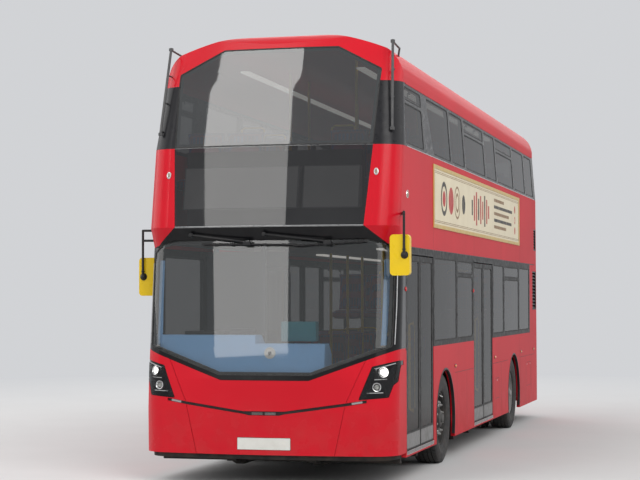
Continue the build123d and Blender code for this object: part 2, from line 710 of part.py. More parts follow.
CROSS_H = 60
OUTRIGGER_END = HALF - WALL - 15
rail_in = RAIL_X - RAIL_W / 2
rail_out = RAIL_X + RAIL_W / 2
cross = []
for s in (600, 1400, 3500, 4500, 5400, 6300):
    span = (s - CROSS_W / 2, s + CROSS_W / 2, FLOOR_Z - FLOOR_T - CROSS_H, FLOOR_Z - FLOOR_T)
    outrigger = box(rail_out, OUTRIGGER_END, *span)
    cross += [box(-rail_in, rail_in, *span), outrigger, mirrored(outrigger)]
for s in (REAR_AXLE + 850, 10120):
    span = (s - CROSS_W / 2, s + CROSS_W / 2)
    cross.append(box(-rail_in, rail_in, *span, ENGINE_SEAT_Z - 80, ENGINE_SEAT_Z))
nodes["cross_members"] = loose(*cross)
TOW_R = 21
TOW_T = 40
tow_lug = box(RAIL_X - 45, RAIL_X + 45, 270, 430, FLOOR_Z - FLOOR_T - TOW_T, FLOOR_Z - FLOOR_T)
tow_lug = tow_lug - bar((RAIL_X, 330, 150), (RAIL_X, 330, FLOOR_Z), TOW_R)
nodes["chassis_frame"] = loose(rail + tow_lug, mirrored(rail + tow_lug))

# Engine as one block, on the rear of the rails
nodes["engine_block"] = box(-480, 480, 9080, 10080, ENGINE_SEAT_Z, 1150)

# Front axle: dropped beam with an eye at each end
KINGPIN_X = HALF - WHEEL_INSET - TYRE_W / 2 - KINGPIN_INSET
EYE_R = 44
EYE_Z = (425, 531)
beam = box(-KINGPIN_X + 90, KINGPIN_X - 90, FRONT_AXLE - 55, FRONT_AXLE + 55, BEAM_FOOT, BEAM_TOP)
riser_beam = prism_y(
    [
        (KINGPIN_X - 180, BEAM_FOOT),
        (KINGPIN_X - 90, BEAM_FOOT),
        (KINGPIN_X - 72, EYE_Z[0] + 6),
        (KINGPIN_X - 30, EYE_Z[0] + 6),
        (KINGPIN_X - 30, EYE_Z[1] - 6),
        (KINGPIN_X - 112, EYE_Z[1] - 6),
        (KINGPIN_X - 150, BEAM_TOP + 10),
    ],
    FRONT_AXLE - 42,
    FRONT_AXLE + 42,
)
eye = bar((KINGPIN_X, FRONT_AXLE, EYE_Z[0]), (KINGPIN_X, FRONT_AXLE, EYE_Z[1]), EYE_R)
eye_low = (KINGPIN_X, FRONT_AXLE, EYE_Z[0] - 5)
eye_high = (KINGPIN_X, FRONT_AXLE, EYE_Z[1] + 5)
eye_hole = bar(eye_low, eye_high, KINGPIN_R + PIN_CLEAR)
beam = beam + riser_beam + mirrored(riser_beam) + eye + mirrored(eye) - eye_hole - mirrored(eye_hole)
pad_span = (FRONT_AXLE - 50, FRONT_AXLE + 50)
seat_pad = box(RAIL_X - RAIL_W / 2, RAIL_X + RAIL_W / 2, *pad_span, BEAM_TOP - 5, BEAM_TOP + 6)
nodes["front_axle"] = beam + seat_pad + mirrored(seat_pad)

# Steering knuckle: fork around the eye, kingpin and spindle
SPINDLE_END = HALF - WHEEL_INSET - 60
fork = fused(
    [
        box(KINGPIN_X - 45, KINGPIN_X + 95, FRONT_AXLE - 42, FRONT_AXLE + 42, EYE_Z[1] + 2, EYE_Z[1] + 32),
        box(KINGPIN_X - 45, KINGPIN_X + 95, FRONT_AXLE - 42, FRONT_AXLE + 42, EYE_Z[0] - 32, EYE_Z[0] - 2),
        box(KINGPIN_X + 62, KINGPIN_X + 95, FRONT_AXLE - 42, FRONT_AXLE + 42, EYE_Z[0] - 32, EYE_Z[1] + 32),
        bar((KINGPIN_X, FRONT_AXLE, EYE_Z[0] - 40), (KINGPIN_X, FRONT_AXLE, EYE_Z[1] + 40), KINGPIN_R),
        barrel(FRONT_AXLE, TYRE_R, SPINDLE_R, KINGPIN_X + 90, SPINDLE_END),
    ]
)
nodes["knuckle_nearside"] = fork
nodes["knuckle_offside"] = mirrored(fork)

# Rear axle: dropped tube, final drive case and long spindles for the twin wheels
DRIVE_X = -120
rear_axle = fused(
    [
        barrel(REAR_AXLE, TYRE_R, 62, -640, 640),
        prism_y(
            [
                (DRIVE_X - 190, 400),
                (DRIVE_X - 110, 330),
                (DRIVE_X + 110, 330),
                (DRIVE_X + 190, 400),
                (DRIVE_X + 190, 500),
                (DRIVE_X + 110, 540),
                (DRIVE_X - 110, 540),
                (DRIVE_X - 190, 500),
            ],
            REAR_AXLE - 190,
            REAR_AXLE + 160,
        ),
        barrel(REAR_AXLE, TYRE_R, SPINDLE_R + 6, -SPINDLE_END, SPINDLE_END),
    ]
)
hanger = box(RAIL_X - 30, RAIL_X + 30, REAR_AXLE - 60, REAR_AXLE + 60, FLOOR_Z - FLOOR_T, TYRE_R)
nodes["rear_axle"] = rear_axle + hanger + mirrored(hanger)


# Wheels, turned about the X axis
def turned(points, x0, axle):
    """Revolve (x, r) points about a wheel's axis."""
    face = make_face(Polyline(*[(x0 + x, at(axle), TYRE_R + r) for x, r in points], close=True))
    return revolve(face, Axis((x0, at(axle), TYRE_R), (1, 0, 0)))


W = TYRE_W / 2
TYRE_OUTLINE = (
    (-W * 0.72, RIM_R),
    (W * 0.72, RIM_R),
    (W * 0.94, RIM_R + 40),
    (W, RIM_R + 95),
    (W * 0.97, TYRE_R - 42),
    (W * 0.84, TYRE_R - 8),
    (W * 0.6, TYRE_R),
    (-W * 0.6, TYRE_R),
    (-W * 0.84, TYRE_R - 8),
    (-W * 0.97, TYRE_R - 42),
    (-W, RIM_R + 95),
    (-W * 0.94, RIM_R + 40),
)
FRONT_RIM = (
    # x from the tyre's middle, r
    (-W * 0.72, RIM_R - SHUT),
    (-W * 0.72, RIM_R - RIM_T),
    (28, RIM_R - RIM_T - 10),
    (52, 205),
    (62, HUB_R),
    (-20, HUB_R),
    (-20, SPINDLE_R + HUB_CLEAR),
    (106, SPINDLE_R + HUB_CLEAR),
    (106, HUB_R - 12),
    (92, HUB_R - 5),
    (76, HUB_R + 8),
    (66, 215),
    (44, RIM_R - RIM_T - 4),
    (W * 0.72, RIM_R - RIM_T),
    (W * 0.72, RIM_R - SHUT),
)
REAR_RIM = (
    (-W * 0.72, RIM_R - SHUT),
    (-W * 0.72, RIM_R - RIM_T),
    (-70, RIM_R - RIM_T - 10),
    (-96, 212),
    (-106, HUB_R),
    (95 - TYRE_W - TWIN_GAP, HUB_R),
    (95 - TYRE_W - TWIN_GAP, SPINDLE_R + 6 + HUB_CLEAR),
    (92, SPINDLE_R + 6 + HUB_CLEAR),
    (92, 72),
    (-30, HUB_R - 8),
    (-92, HUB_R + 6),
    (-82, 222),
    (-54, RIM_R - RIM_T - 4),
    (W * 0.72, RIM_R - RIM_T),
    (W * 0.72, RIM_R - SHUT),
)
INNER_RIM = (
    (-W * 0.72, RIM_R - SHUT),
    (-W * 0.72, RIM_R - RIM_T),
    (W * 0.5, RIM_R - RIM_T - 8),
    (96, 212),
    (102, HUB_R + SHUT),
    (116, HUB_R + SHUT),
    (110, 222),
    (W * 0.72, RIM_R - RIM_T),
    (W * 0.72, RIM_R - SHUT),
)
OUTER_X = HALF - WHEEL_INSET - W
INNER_X = OUTER_X - TYRE_W - TWIN_GAP
front_tyre = turned(TYRE_OUTLINE, OUTER_X, FRONT_AXLE)
front_rim = turned(FRONT_RIM, OUTER_X, FRONT_AXLE)
rear_tyres = loose(turned(TYRE_OUTLINE, OUTER_X, REAR_AXLE), turned(TYRE_OUTLINE, INNER_X, REAR_AXLE))
rear_rim = turned(REAR_RIM, OUTER_X, REAR_AXLE)
inner_rim = turned(INNER_RIM, INNER_X, REAR_AXLE)
nodes["front_tyre_nearside"] = front_tyre
nodes["front_tyre_offside"] = mirrored(front_tyre)
nodes["front_rim_nearside"] = front_rim
nodes["front_rim_offside"] = mirrored(front_rim)
nodes["rear_tyres_nearside"] = rear_tyres
nodes["rear_tyres_offside"] = loose(mirrored(rear_tyres))
nodes["rear_rims_nearside"] = loose(rear_rim, inner_rim)
nodes["rear_rims_offside"] = loose(mirrored(rear_rim), mirrored(inner_rim))


# Door leaves
def leaf(s0, s1):
    """Framed leaf with a glass above a kick panel; its outer face just inside the flank."""
    x1 = HALF - DOOR_SKIN
    x0 = x1 - DOOR_T
    hole = [
        (s0 + DOOR_RAIL, DOOR_FOOT_Z + DOOR_KICK),
        (s1 - DOOR_RAIL, DOOR_FOOT_Z + DOOR_KICK),
        (s1 - DOOR_RAIL, DOOR_HEAD_Z - DOOR_RAIL),
        (s0 + DOOR_RAIL, DOOR_HEAD_Z - DOOR_RAIL),
    ]
    frame = box(x0, x1, s0, s1, DOOR_FOOT_Z, DOOR_HEAD_Z) - prism_x(hole, x0 - 5, x1 + 5, 35)
    mid = [
        (s0 + DOOR_RAIL + SHUT, hole[0][1] + SHUT),
        (s1 - DOOR_RAIL - SHUT, hole[0][1] + SHUT),
        (s1 - DOOR_RAIL - SHUT, hole[2][1] - SHUT),
        (s0 + DOOR_RAIL + SHUT, hole[2][1] - SHUT),
    ]
    return frame, prism_x(mid, x1 - 16, x1 - 6, 35)


def pivot_post(s):
    """Hinge tube behind the leaf, standing on the floor."""
    x = HALF - DOOR_SKIN - DOOR_T - HINGE_IN
    return bar((x, s, FLOOR_Z), (x, s, DOOR_HEAD_Z + 30), HINGE_R)


posts = []
for name, (s0, s1) in (("entrance", ENTRANCE), ("exit", EXIT)):
    middle = (s0 + s1) / 2
    fore = (s0 + DOOR_GAP, middle - LEAF_GAP / 2)
    aft = (middle + LEAF_GAP / 2, s1 - DOOR_GAP)
    for end, span, pivot in (("fore", fore, s0 + HINGE_BACK), ("aft", aft, s1 - HINGE_BACK)):
        frame, pane = leaf(*span)
        x = HALF - DOOR_SKIN - DOOR_T - HINGE_IN
        arms = fused(
            [
                box(x - 6, HALF - DOOR_SKIN - DOOR_T + 4, pivot - 26, pivot + 26, z, z + 30)
                + bar((x, pivot, z), (x, pivot, z + 30), HINGE_R + 14)
                for z in (DOOR_FOOT_Z + 90, DOOR_HEAD_Z - 130)
            ]
        )
        arms = arms - bar((x, pivot, 200), (x, pivot, DOOR_HEAD_Z + 60), HINGE_R + PIN_CLEAR)
        nodes[name + "_leaf_" + end] = loose(frame + arms, pane)
        posts.append(pivot_post(pivot))
nodes["door_posts"] = loose(*posts)

# Upper floor with the stair well
WELL = (2150, 3750, -1205, -640)
deck = box(-HALF, HALF, 150, LENGTH - 100, UPPER_FLOOR_Z - UPPER_FLOOR_T, UPPER_FLOOR_Z) & UPPER_CORE
well = box(WELL[2], WELL[3], WELL[0], WELL[1], UPPER_FLOOR_Z - UPPER_FLOOR_T - 10, UPPER_FLOOR_Z + 10)
nodes["upper_floor"] = deck - well

# Straight staircase behind the cab, rising forwards
STEPS = 9
STAIR_FOOT = 4250
RISE = (UPPER_FLOOR_Z - FLOOR_Z) / STEPS
GOING = (STAIR_FOOT - WELL[0]) / STEPS
treads = []
for count in range(STEPS - 1):
    s = STAIR_FOOT - GOING * (count + 1)
    z = FLOOR_Z + RISE * (count + 1)
    treads.append(box(WELL[2] + 12, WELL[3] - 6, s, s + GOING + 25, z - 26, z))
stringer = [
    (STAIR_FOOT + 30, FLOOR_Z),
    (STAIR_FOOT + 30, FLOOR_Z + RISE),
    (WELL[0] + 20, UPPER_FLOOR_Z - 5),
    (WELL[0] + 20, UPPER_FLOOR_Z - 330),
    (STAIR_FOOT - 330, FLOOR_Z),
]
arch_room = box(-HALF, 0, FRONT_AXLE - BOX_HALF - 5, FRONT_AXLE + BOX_HALF + 5, 0, BOX_TOP + 5)
for x0, x1 in ((WELL[3] - 26, WELL[3] - 4), (WELL[2] + 4, WELL[2] + 20)):
    treads.append(prism_x(stringer, x0, x1) - arch_room)
nodes["staircase"] = fused(treads)

# Cab: dash, steering wheel, partition and door
DASH_FLOOR_Z = 760
DASH_CAB = (-1195, -110, 1420)
DASH_MID = (-110, 570, 1340)
cab_dash = prism_x(
    [
        (0, DASH_FLOOR_Z),
        (0, DASH_CAB[2]),
        (320, DASH_CAB[2]),
        (420, DASH_CAB[2] - 70),
        (560, DASH_CAB[2] - 290),
        (560, DASH_FLOOR_Z),
    ],
    DASH_CAB[0],
    DASH_CAB[1],
)
mid_dash = prism_x(
    [
        (0, DASH_FLOOR_Z),
        (0, DASH_MID[2]),
        (290, DASH_MID[2]),
        (390, DASH_MID[2] - 110),
        (390, DASH_FLOOR_Z),
    ],
    DASH_MID[0],
    DASH_MID[1],
)
foot_board = prism_z([(-1195, 0), (560, 0), (560, 300), (-1195, 480)], FLOOR_Z, DASH_FLOOR_Z)
dash = (cab_dash + mid_dash + foot_board) & LOWER_CORE
WHEEL_C = (-720, 700, 1200)
column = bar((-720, 500, 1040), WHEEL_C, 26)
wheel_plane = Plane(origin=(WHEEL_C[0], at(WHEEL_C[1]), WHEEL_C[2]), z_dir=(0, 180, 140))
rim_ring = wheel_plane * Torus(220, 15)
spokes = wheel_plane * (Box(420, 30, 14) + Box(30, 420, 14) + Cylinder(50, 40))
nodes["dashboard"] = dash + column + rim_ring + spokes
CAB_BACK = 1980
CAB_SIDE_X = -300
partition = box(-1200, CAB_SIDE_X - 30, CAB_BACK - 30, CAB_BACK, FLOOR_Z, 2300) & LOWER_CORE
rear_post = box(CAB_SIDE_X - 30, CAB_SIDE_X + 10, CAB_BACK - 40, CAB_BACK, FLOOR_Z, DECK_JOINT_Z + 35)
front_post = box(CAB_SIDE_X - 30, CAB_SIDE_X + 10, 1060, 1100, FLOOR_Z, DECK_JOINT_Z + 35)
side_panel = box(CAB_SIDE_X - 20, CAB_SIDE_X, 600, 1062, FLOOR_Z, 1400)
CAB_DOOR = (1112, CAB_BACK - 50, FLOOR_Z + 12, 2100)
CAB_PIVOT = (CAB_SIDE_X + 16, CAB_BACK - 60)
CAB_PIN_R = 7
cab_leaf = box(CAB_SIDE_X - 28, CAB_SIDE_X + 2, *CAB_DOOR)
for z in (500, 1900):
    cab_leaf = cab_leaf + box(CAB_SIDE_X, CAB_PIVOT[0], CAB_PIVOT[1] - 40, CAB_PIVOT[1] - 4, z, z + 60)
    cab_leaf = cab_leaf + bar((*CAB_PIVOT, z), (*CAB_PIVOT, z + 60), CAB_PIN_R + 7)
cab_leaf = cab_leaf - bar((*CAB_PIVOT, 300), (*CAB_PIVOT, 2200), CAB_PIN_R + PIN_CLEAR)
cab_pin = bar((*CAB_PIVOT, 440), (*CAB_PIVOT, 2020), CAB_PIN_R)
for z in (440, 2000):
    cab_pin = cab_pin + box(CAB_PIVOT[0] - 12, CAB_PIVOT[0] + 8, CAB_PIVOT[1], CAB_BACK - 35, z, z + 20)
rear_post = rear_post + box(CAB_SIDE_X, CAB_PIVOT[0] + 8, CAB_BACK - 40, CAB_BACK, 420, 2040)
nodes["cab_partition"] = cab_pin + partition + rear_post + front_post + side_panel


def cab_window(clear, x0, x1):
    """Block for the cab door's window, drawn in by a clearance."""
    s0, s1 = CAB_DOOR[0] + 50 + clear, CAB_DOOR[1] - 50 - clear
    z0, z1 = 1180 + clear, 2050 - clear
    return prism_x([(s0, z0), (s1, z0), (s1, z1), (s0, z1)], x0, x1, 40)


cab_hole = cab_window(0, CAB_SIDE_X - 40, CAB_SIDE_X + 20)
cab_pane = cab_window(SHUT, CAB_SIDE_X - 18, CAB_SIDE_X - 10)
nodes["cab_door"] = loose(cab_leaf - cab_hole, cab_pane)


# Seats: one solid for each bench of two, its pedestal apart
def bench(x, s, z, width, facing=1):
    """Cushion and leaning back in one outline; facing +1 looks to the nose."""
    pts = [(0, 0), (430, 0), (455, 60), (520, 640), (450, 650), (395, 120), (10, 105)]
    return prism_x([(s + facing * px, z + pz) for px, pz in pts], x - width / 2, x + width / 2)


BENCH_W = 860
SEAT_Z = 440
LOWER_ROWS = (
    # x, station of the cushion front, floor height or 0 for a seat on the wheel housing
    (-760, 4420, FLOOR_Z),
    (-760, 5200, FLOOR_Z),
    (-760, 6000, FLOOR_Z),
    (760, 3420, FLOOR_Z),
    (-760, REAR_AXLE - BOX_HALF + 20, 0),
    (760, REAR_AXLE - BOX_HALF + 20, 0),
    (-760, REAR_AXLE + 60, 0),
    (760, REAR_AXLE + 60, 0),
)
BENCH_X = 760
UPPER_FIRST_ROW = 760
ROW_PITCH = 800
UPPER_ROW_COUNT = 11
LEG_X = 30
RAIL_HALF = 330


def seat_frame(x, s, z):
    """Pedestal and cross rail under one bench, its cushion front at station s."""
    top = z + SEAT_Z - SHUT
    leg = box(x - LEG_X, x + LEG_X, s + 60, s + 400, z, top)
    return leg + box(x - RAIL_HALF, x + RAIL_HALF, s + 60, s + 110, top - 60, top)


benches = []
frames = []
for x, s, z in LOWER_ROWS:
    if z:
        benches.append(bench(x, s, z + SEAT_Z, BENCH_W))
        frames.append(seat_frame(x, s, z))
    else:
        benches.append(bench(x, s, BOX_TOP + SHUT, BENCH_W))
for row in range(UPPER_ROW_COUNT):
    s = UPPER_FIRST_ROW + ROW_PITCH * row
    for x in (BENCH_X, -BENCH_X):
        if x < 0 and WELL[0] - 560 < s < WELL[1]:
            continue
        benches.append(bench(x, s, UPPER_FLOOR_Z + SEAT_Z, BENCH_W))
        frames.append(seat_frame(x, s, UPPER_FLOOR_Z))
nodes["saloon_seats"] = loose(*benches)
nodes["seat_frames"] = loose(*frames)
driver = bench(-720, 1000, FLOOR_Z + 560, 460)
nodes["driver_seat"] = driver
driver_box = box(-860, -580, 1060, 1400, FLOOR_Z, FLOOR_Z + 560 - SHUT)
nodes["cab_partition"] = loose(nodes["cab_partition"], driver_box)

# Grab poles
POLE_R = 17
poles = []
for x, s in ((-420, 4300), (420, 3340), (420, 4400), (-420, 5150), (420, 6140), (-420, 5950)):
    poles.append(bar((x, s, FLOOR_Z), (x, s, UPPER_FLOOR_Z - UPPER_FLOOR_T), POLE_R))
for x, s in ((-560, 3820), (-560, 3000), (560, 1500), (560, 4700), (-560, 6300)):
    poles.append(bar((x, s, UPPER_FLOOR_Z), (x, s, ceiling_z(abs(x) + POLE_R) - SHUT), POLE_R))
nodes["grab_poles"] = loose(*poles)
GUARD_X = WELL[3] + 30
GUARD_TOP = UPPER_FLOOR_Z + 900
GUARD_R = 17
guard = bar((GUARD_X, WELL[0] + 60, GUARD_TOP), (GUARD_X, WELL[1], GUARD_TOP), GUARD_R)
for s in (WELL[0] + 60, (WELL[0] + WELL[1]) / 2, WELL[1]):
    guard = guard + bar((GUARD_X, s, UPPER_FLOOR_Z), (GUARD_X, s, GUARD_TOP), GUARD_R)
nodes["stair_guard"] = guard

# Destination box behind the glass
nodes["destination_box"] = box(-880, 880, 350, 500, UPPER_FLOOR_Z, UPPER_SILL_Z - 40)

# Wipers parked under the brow, arms hung from above
BOSS_Z = 2385
BLADE_R = 9
WIPERS = (
    # x of the arm's foot, blade start, arm's end, blade end, heights of both blade ends
    (-770, -660, -190, 280, 2298, 2284),
    (-20, 270, 600, 950, 2274, 2312),
)


def wiper(foot, start, hold, end, z0, z1):
    """Blade just ahead of the glass, its link, arm and boss."""
    mid_z = z0 + (z1 - z0) * (hold - start) / (end - start)
    blade = bar((start, nose_face(start, 137), z0), (hold, nose_face(hold, 137), mid_z), BLADE_R)
    blade = blade + bar((hold, nose_face(hold, 137), mid_z), (end, nose_face(end, 137), z1), BLADE_R)
    blade = blade + Pos(hold, at(nose_face(hold, 137)), mid_z) * Sphere(BLADE_R)
    link = bar((hold, nose_face(hold, 137), mid_z), (hold, nose_face(hold, 112), mid_z + 20), 8)
    arm = bar((hold, nose_face(hold, 112), mid_z + 20), (foot, nose_face(foot, 92), BOSS_Z), 9)
    boss = bar((foot, nose_face(foot, 82), BOSS_Z), (foot, nose_face(foot, 160), BOSS_Z), 17)
    return fused([arm, blade, link, boss - envelope(UPPER_LEVELS, -0.3)])


nodes["wipers"] = loose(*[wiper(*row) for row in WIPERS])


# Mirrors on bent arms, each held by a ball joint on the front of its housing
MIRROR = (190, 80, 35)
MIRROR_ARM_R = 12
MIRROR_BALL_R = 27


def mirror_set(x, s, z0, z1, side, roots):
    """Housing with rounded edges at x and station s, its arm outboard in front, run to its roots."""
    width, depth, radius = MIRROR
    mid = (z0 + z1) / 2
    head = Pos(x, at(s), mid) * Box(width, depth, z1 - z0)
    head = fillet(head.edges().filter_by(Axis.Y), radius)
    arm_x = x + side * 46
    arm_s = s - depth / 2 - MIRROR_BALL_R + 5
    top = (arm_x, arm_s, roots[0][2])
    pieces = [bar((arm_x, arm_s, mid), top, MIRROR_ARM_R)]
    pieces.append(Pos(arm_x, at(arm_s), roots[0][2]) * Sphere(MIRROR_ARM_R))
    pieces.append(Pos(arm_x, at(s - depth / 2 - 12), mid) * Sphere(MIRROR_BALL_R))
    for root in roots:
        pieces.append(bar((arm_x, arm_s, root[2]), root, MIRROR_ARM_R))
    return head + (fused(pieces) - envelope(UPPER_LEVELS, -0.3))


mirror_near = mirror_set(1296, 165, 1985, 2370, 1, ((1235, 520, 2580),))
mirror_off = mirror_set(-1364, 600, 1800, 2180, -1, ((-1230, 560, 2450), (-1230, 560, 2350)))
nodes["mirrors"] = loose(mirror_near, mirror_off)

# Branch guards up the front corners
GUARD_GAP = 0.25
guard_foot = (1172, 385, 3400)
guard_head = (1135, 600, 4280)
guard_bar = bar(guard_foot, guard_head, 13)
hook_knee = (1132, 930, 4240)
hook_end = (1100, 985, 4120)
stays = [bar((1136, 596, 4262), hook_knee, 10), bar(hook_knee, hook_end, 10)]
stays.append(Pos(hook_knee[0], at(hook_knee[1]), hook_knee[2]) * Sphere(10))
for share in (0.03, 0.36, 0.68):
    x = guard_foot[0] + (guard_head[0] - guard_foot[0]) * share
    s = guard_foot[1] + (guard_head[1] - guard_foot[1]) * share
    z = guard_foot[2] + (guard_head[2] - guard_foot[2]) * share
    stays.append(bar((x, s, z), (x - 10, s + 190, z - 5), 8))
guard_near = fused([guard_bar, *stays]) - (envelope(UPPER_LEVELS, -GUARD_GAP) & roof_form(-GUARD_GAP))
guard_near = guard_near.solids().sort_by(SortBy.VOLUME)[-1]
nodes["branch_guards"] = loose(guard_near, mirrored(guard_near))

# Poster frame on the nearside between the decks
POSTER = (2000, 8450, 2510, 3176)
POSTER_RIM = 40


def poster_block(x1, inset):
    """Block on the nearside panel as large as the poster frame, drawn in by an inset."""
    s0, s1, z0, z1 = POSTER
    return box(HALF + 0.3, HALF + x1, s0 + inset, s1 - inset, z0 + inset, z1 - inset)


sheet = poster_block(4, POSTER_RIM + SHUT)
nodes["poster_frame"] = loose(poster_block(10, 0) - poster_block(20, POSTER_RIM), sheet)

os.makedirs("parts", exist_ok=True)
for name, shape in nodes.items():
    export_step(loose(shape), "parts/" + name + ".step")
    print(name, len(shape.solids()), round(shape.volume / 1e6, 1))
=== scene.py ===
"""Looks of a red two-deck city bus: paint, glass, trim, wheels, lamps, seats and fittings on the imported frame."""

import logging
import math
from dataclasses import dataclass, field
from enum import Enum
from typing import Callable, Iterable, Sequence

import bmesh
import bpy
from mathutils import Matrix, Vector


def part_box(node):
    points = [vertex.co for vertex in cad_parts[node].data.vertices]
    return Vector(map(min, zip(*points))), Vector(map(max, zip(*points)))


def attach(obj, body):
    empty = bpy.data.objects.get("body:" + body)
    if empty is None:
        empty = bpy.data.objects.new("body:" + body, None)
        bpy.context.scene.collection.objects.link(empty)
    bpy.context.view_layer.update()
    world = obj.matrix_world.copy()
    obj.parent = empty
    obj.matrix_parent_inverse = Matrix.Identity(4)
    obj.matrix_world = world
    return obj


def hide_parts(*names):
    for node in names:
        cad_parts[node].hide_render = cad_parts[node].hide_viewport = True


logging.basicConfig(level=logging.INFO, format="%(levelname)s %(message)s")
log = logging.getLogger("bus")

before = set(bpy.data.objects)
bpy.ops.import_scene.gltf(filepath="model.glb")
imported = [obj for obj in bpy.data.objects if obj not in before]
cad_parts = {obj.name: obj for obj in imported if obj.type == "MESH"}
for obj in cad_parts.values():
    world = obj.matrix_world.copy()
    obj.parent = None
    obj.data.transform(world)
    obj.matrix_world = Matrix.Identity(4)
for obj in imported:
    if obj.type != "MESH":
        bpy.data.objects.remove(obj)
NODES: dict[str, bpy.types.Object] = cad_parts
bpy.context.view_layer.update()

Point = tuple[float, float, float]
Flat = tuple[float, float]
Colour = tuple[float, float, float]
Faces = list[list[int]]
Socket = bpy.types.NodeSocket
Object = bpy.types.Object

SIDES = (1, -1)
WHERE = {1: "near", -1: "off"}
TIP = 0.0001
QUARTER = math.pi / 2


@dataclass(frozen=True)
class BusSizes:
    """Sizes shared by the sub-assemblies, in metres, as the construction has them.

    Stations are distances behind the nose; the nose points to -Y and +X is the nearside.
    """

    length: float = 10.5
    half: float = 1.26
    straight: float = 4.2
    front_axle: float = 2.7
    rear_axle: float = 7.9
    tyre_r: float = 0.478
    tyre_w: float = 0.275
    rim_r: float = 0.286
    outer_x: float = 1.0905
    inner_x: float = 0.7655
    upper_sill: float = 3.243
    roof_rail: float = 3.87
    lean: float = 0.046

    def y(self, station: float) -> float:
        """Y coordinate of a station behind the nose."""
        return station - self.length / 2


SIZES = BusSizes()


class Body(Enum):
    """Rigid bodies that pieces ride on."""

    SHELL = "body"
    FRONT_NEAR = "wheel_front_nearside"
    FRONT_OFF = "wheel_front_offside"
    REAR_NEAR = "wheel_rear_nearside"
    REAR_OFF = "wheel_rear_offside"
    ENTRANCE_FORE = "entrance_fore"
    ENTRANCE_AFT = "entrance_aft"
    EXIT_FORE = "exit_fore"
    EXIT_AFT = "exit_aft"
    FLAP = "engine_flap"


# Shader helpers


class Tree:
    """Node tree that nodes are added to."""

    def __init__(self, tree: bpy.types.NodeTree) -> None:
        """Take over a tree and empty it."""
        self.tree = tree
        tree.nodes.clear()

    def node(self, kind: str, inputs: dict[str | int, object] | None = None, **props: object) -> bpy.types.Node:
        """Add a node.

        Args:
            kind: Node type without its ShaderNode prefix.
            inputs: Values or output sockets for its inputs.
            props: Properties of the node.

        Returns:
            The new node.
        """
        made = self.tree.nodes.new("ShaderNode" + kind)
        for key, value in props.items():
            setattr(made, key, value)
        for key, value in (inputs or {}).items():
            if isinstance(value, Socket):
                self.tree.links.new(value, made.inputs[key])
            else:
                made.inputs[key].default_value = value
        return made


class Shader(Tree):
    """A material's node tree with one Principled shader."""

    NAMES = {"ior": "IOR", "coat_ior": "Coat IOR", "specular": "Specular IOR Level"}

    def __init__(self, name: str) -> None:
        """Start an empty material of a name.

        Args:
            name: Name of the material.
        """
        self.material = bpy.data.materials.new(name)
        self.material.use_nodes = True
        super().__init__(self.material.node_tree)
        self.bsdf = self.node("BsdfPrincipled")
        self.out = self.node("OutputMaterial", {0: self.bsdf.outputs[0]})
        self.coord = self.node("TexCoord").outputs["Object"]

    def set(self, **values: float | Colour) -> None:
        """Set constant sockets of the Principled shader, named in snake case."""
        for key, value in values.items():
            socket = self.bsdf.inputs[self.NAMES.get(key, key.replace("_", " ").title())]
            socket.default_value = (*value, 1.0) if isinstance(value, tuple) else value

    def noise(self, scale: float, detail: float = 4.0, stretch: Point | None = None) -> Socket:
        """Noise of the object coordinates, which move with the piece.

        Args:
            scale: Cells to a metre.
            detail: Octaves.
            stretch: Scale of the coordinates along X, Y and Z.

        Returns:
            The factor, from 0 to 1.
        """
        vector = self.coord
        if stretch:
            vector = self.node("Mapping", {"Vector": vector, "Scale": stretch}).outputs[0]
        return self.node("TexNoise", {"Vector": vector, "Scale": scale, "Detail": detail}).outputs[0]

    def spread(self, value: Socket, low: float, high: float, to_low: float = 0.0, to_high: float = 1.0) -> Socket:
        """Map a value from one range onto another, clamped."""
        return self.node("MapRange", {0: value, 1: low, 2: high, 3: to_low, 4: to_high}).outputs[0]

    def maths(self, operation: str, a: object, b: object = 0.0, c: object = 0.0) -> Socket:
        """A Math node's result for up to three values or sockets."""
        return self.node("Math", {0: a, 1: b, 2: c}, operation=operation).outputs[0]

    def blend(self, factor: Socket, a: object, b: object) -> Socket:
        """Mix two colours or sockets: 0 gives the first, 1 the second."""
        a, b = ((*c, 1.0) if isinstance(c, tuple) else c for c in (a, b))
        return self.node("Mix", {0: factor, 6: a, 7: b}, data_type="RGBA").outputs[2]

    def to(self, socket: str, value: Socket) -> None:
        """Link a value to a socket of the Principled shader."""
        self.tree.links.new(value, self.bsdf.inputs[socket])

    def bump(self, height: Socket, strength: float, distance: float) -> None:
        """Raise the surface by a height.

        Args:
            height: From 0 to 1.
            strength: Share of the effect.
            distance: Height of a full step, in metres.
        """
        values = {"Height": height, "Strength": strength, "Distance": distance}
        normal = self.bsdf.inputs["Normal"]
        if normal.is_linked:
            values["Normal"] = normal.links[0].from_socket
        self.to("Normal", self.node("Bump", values).outputs[0])


# Finishes


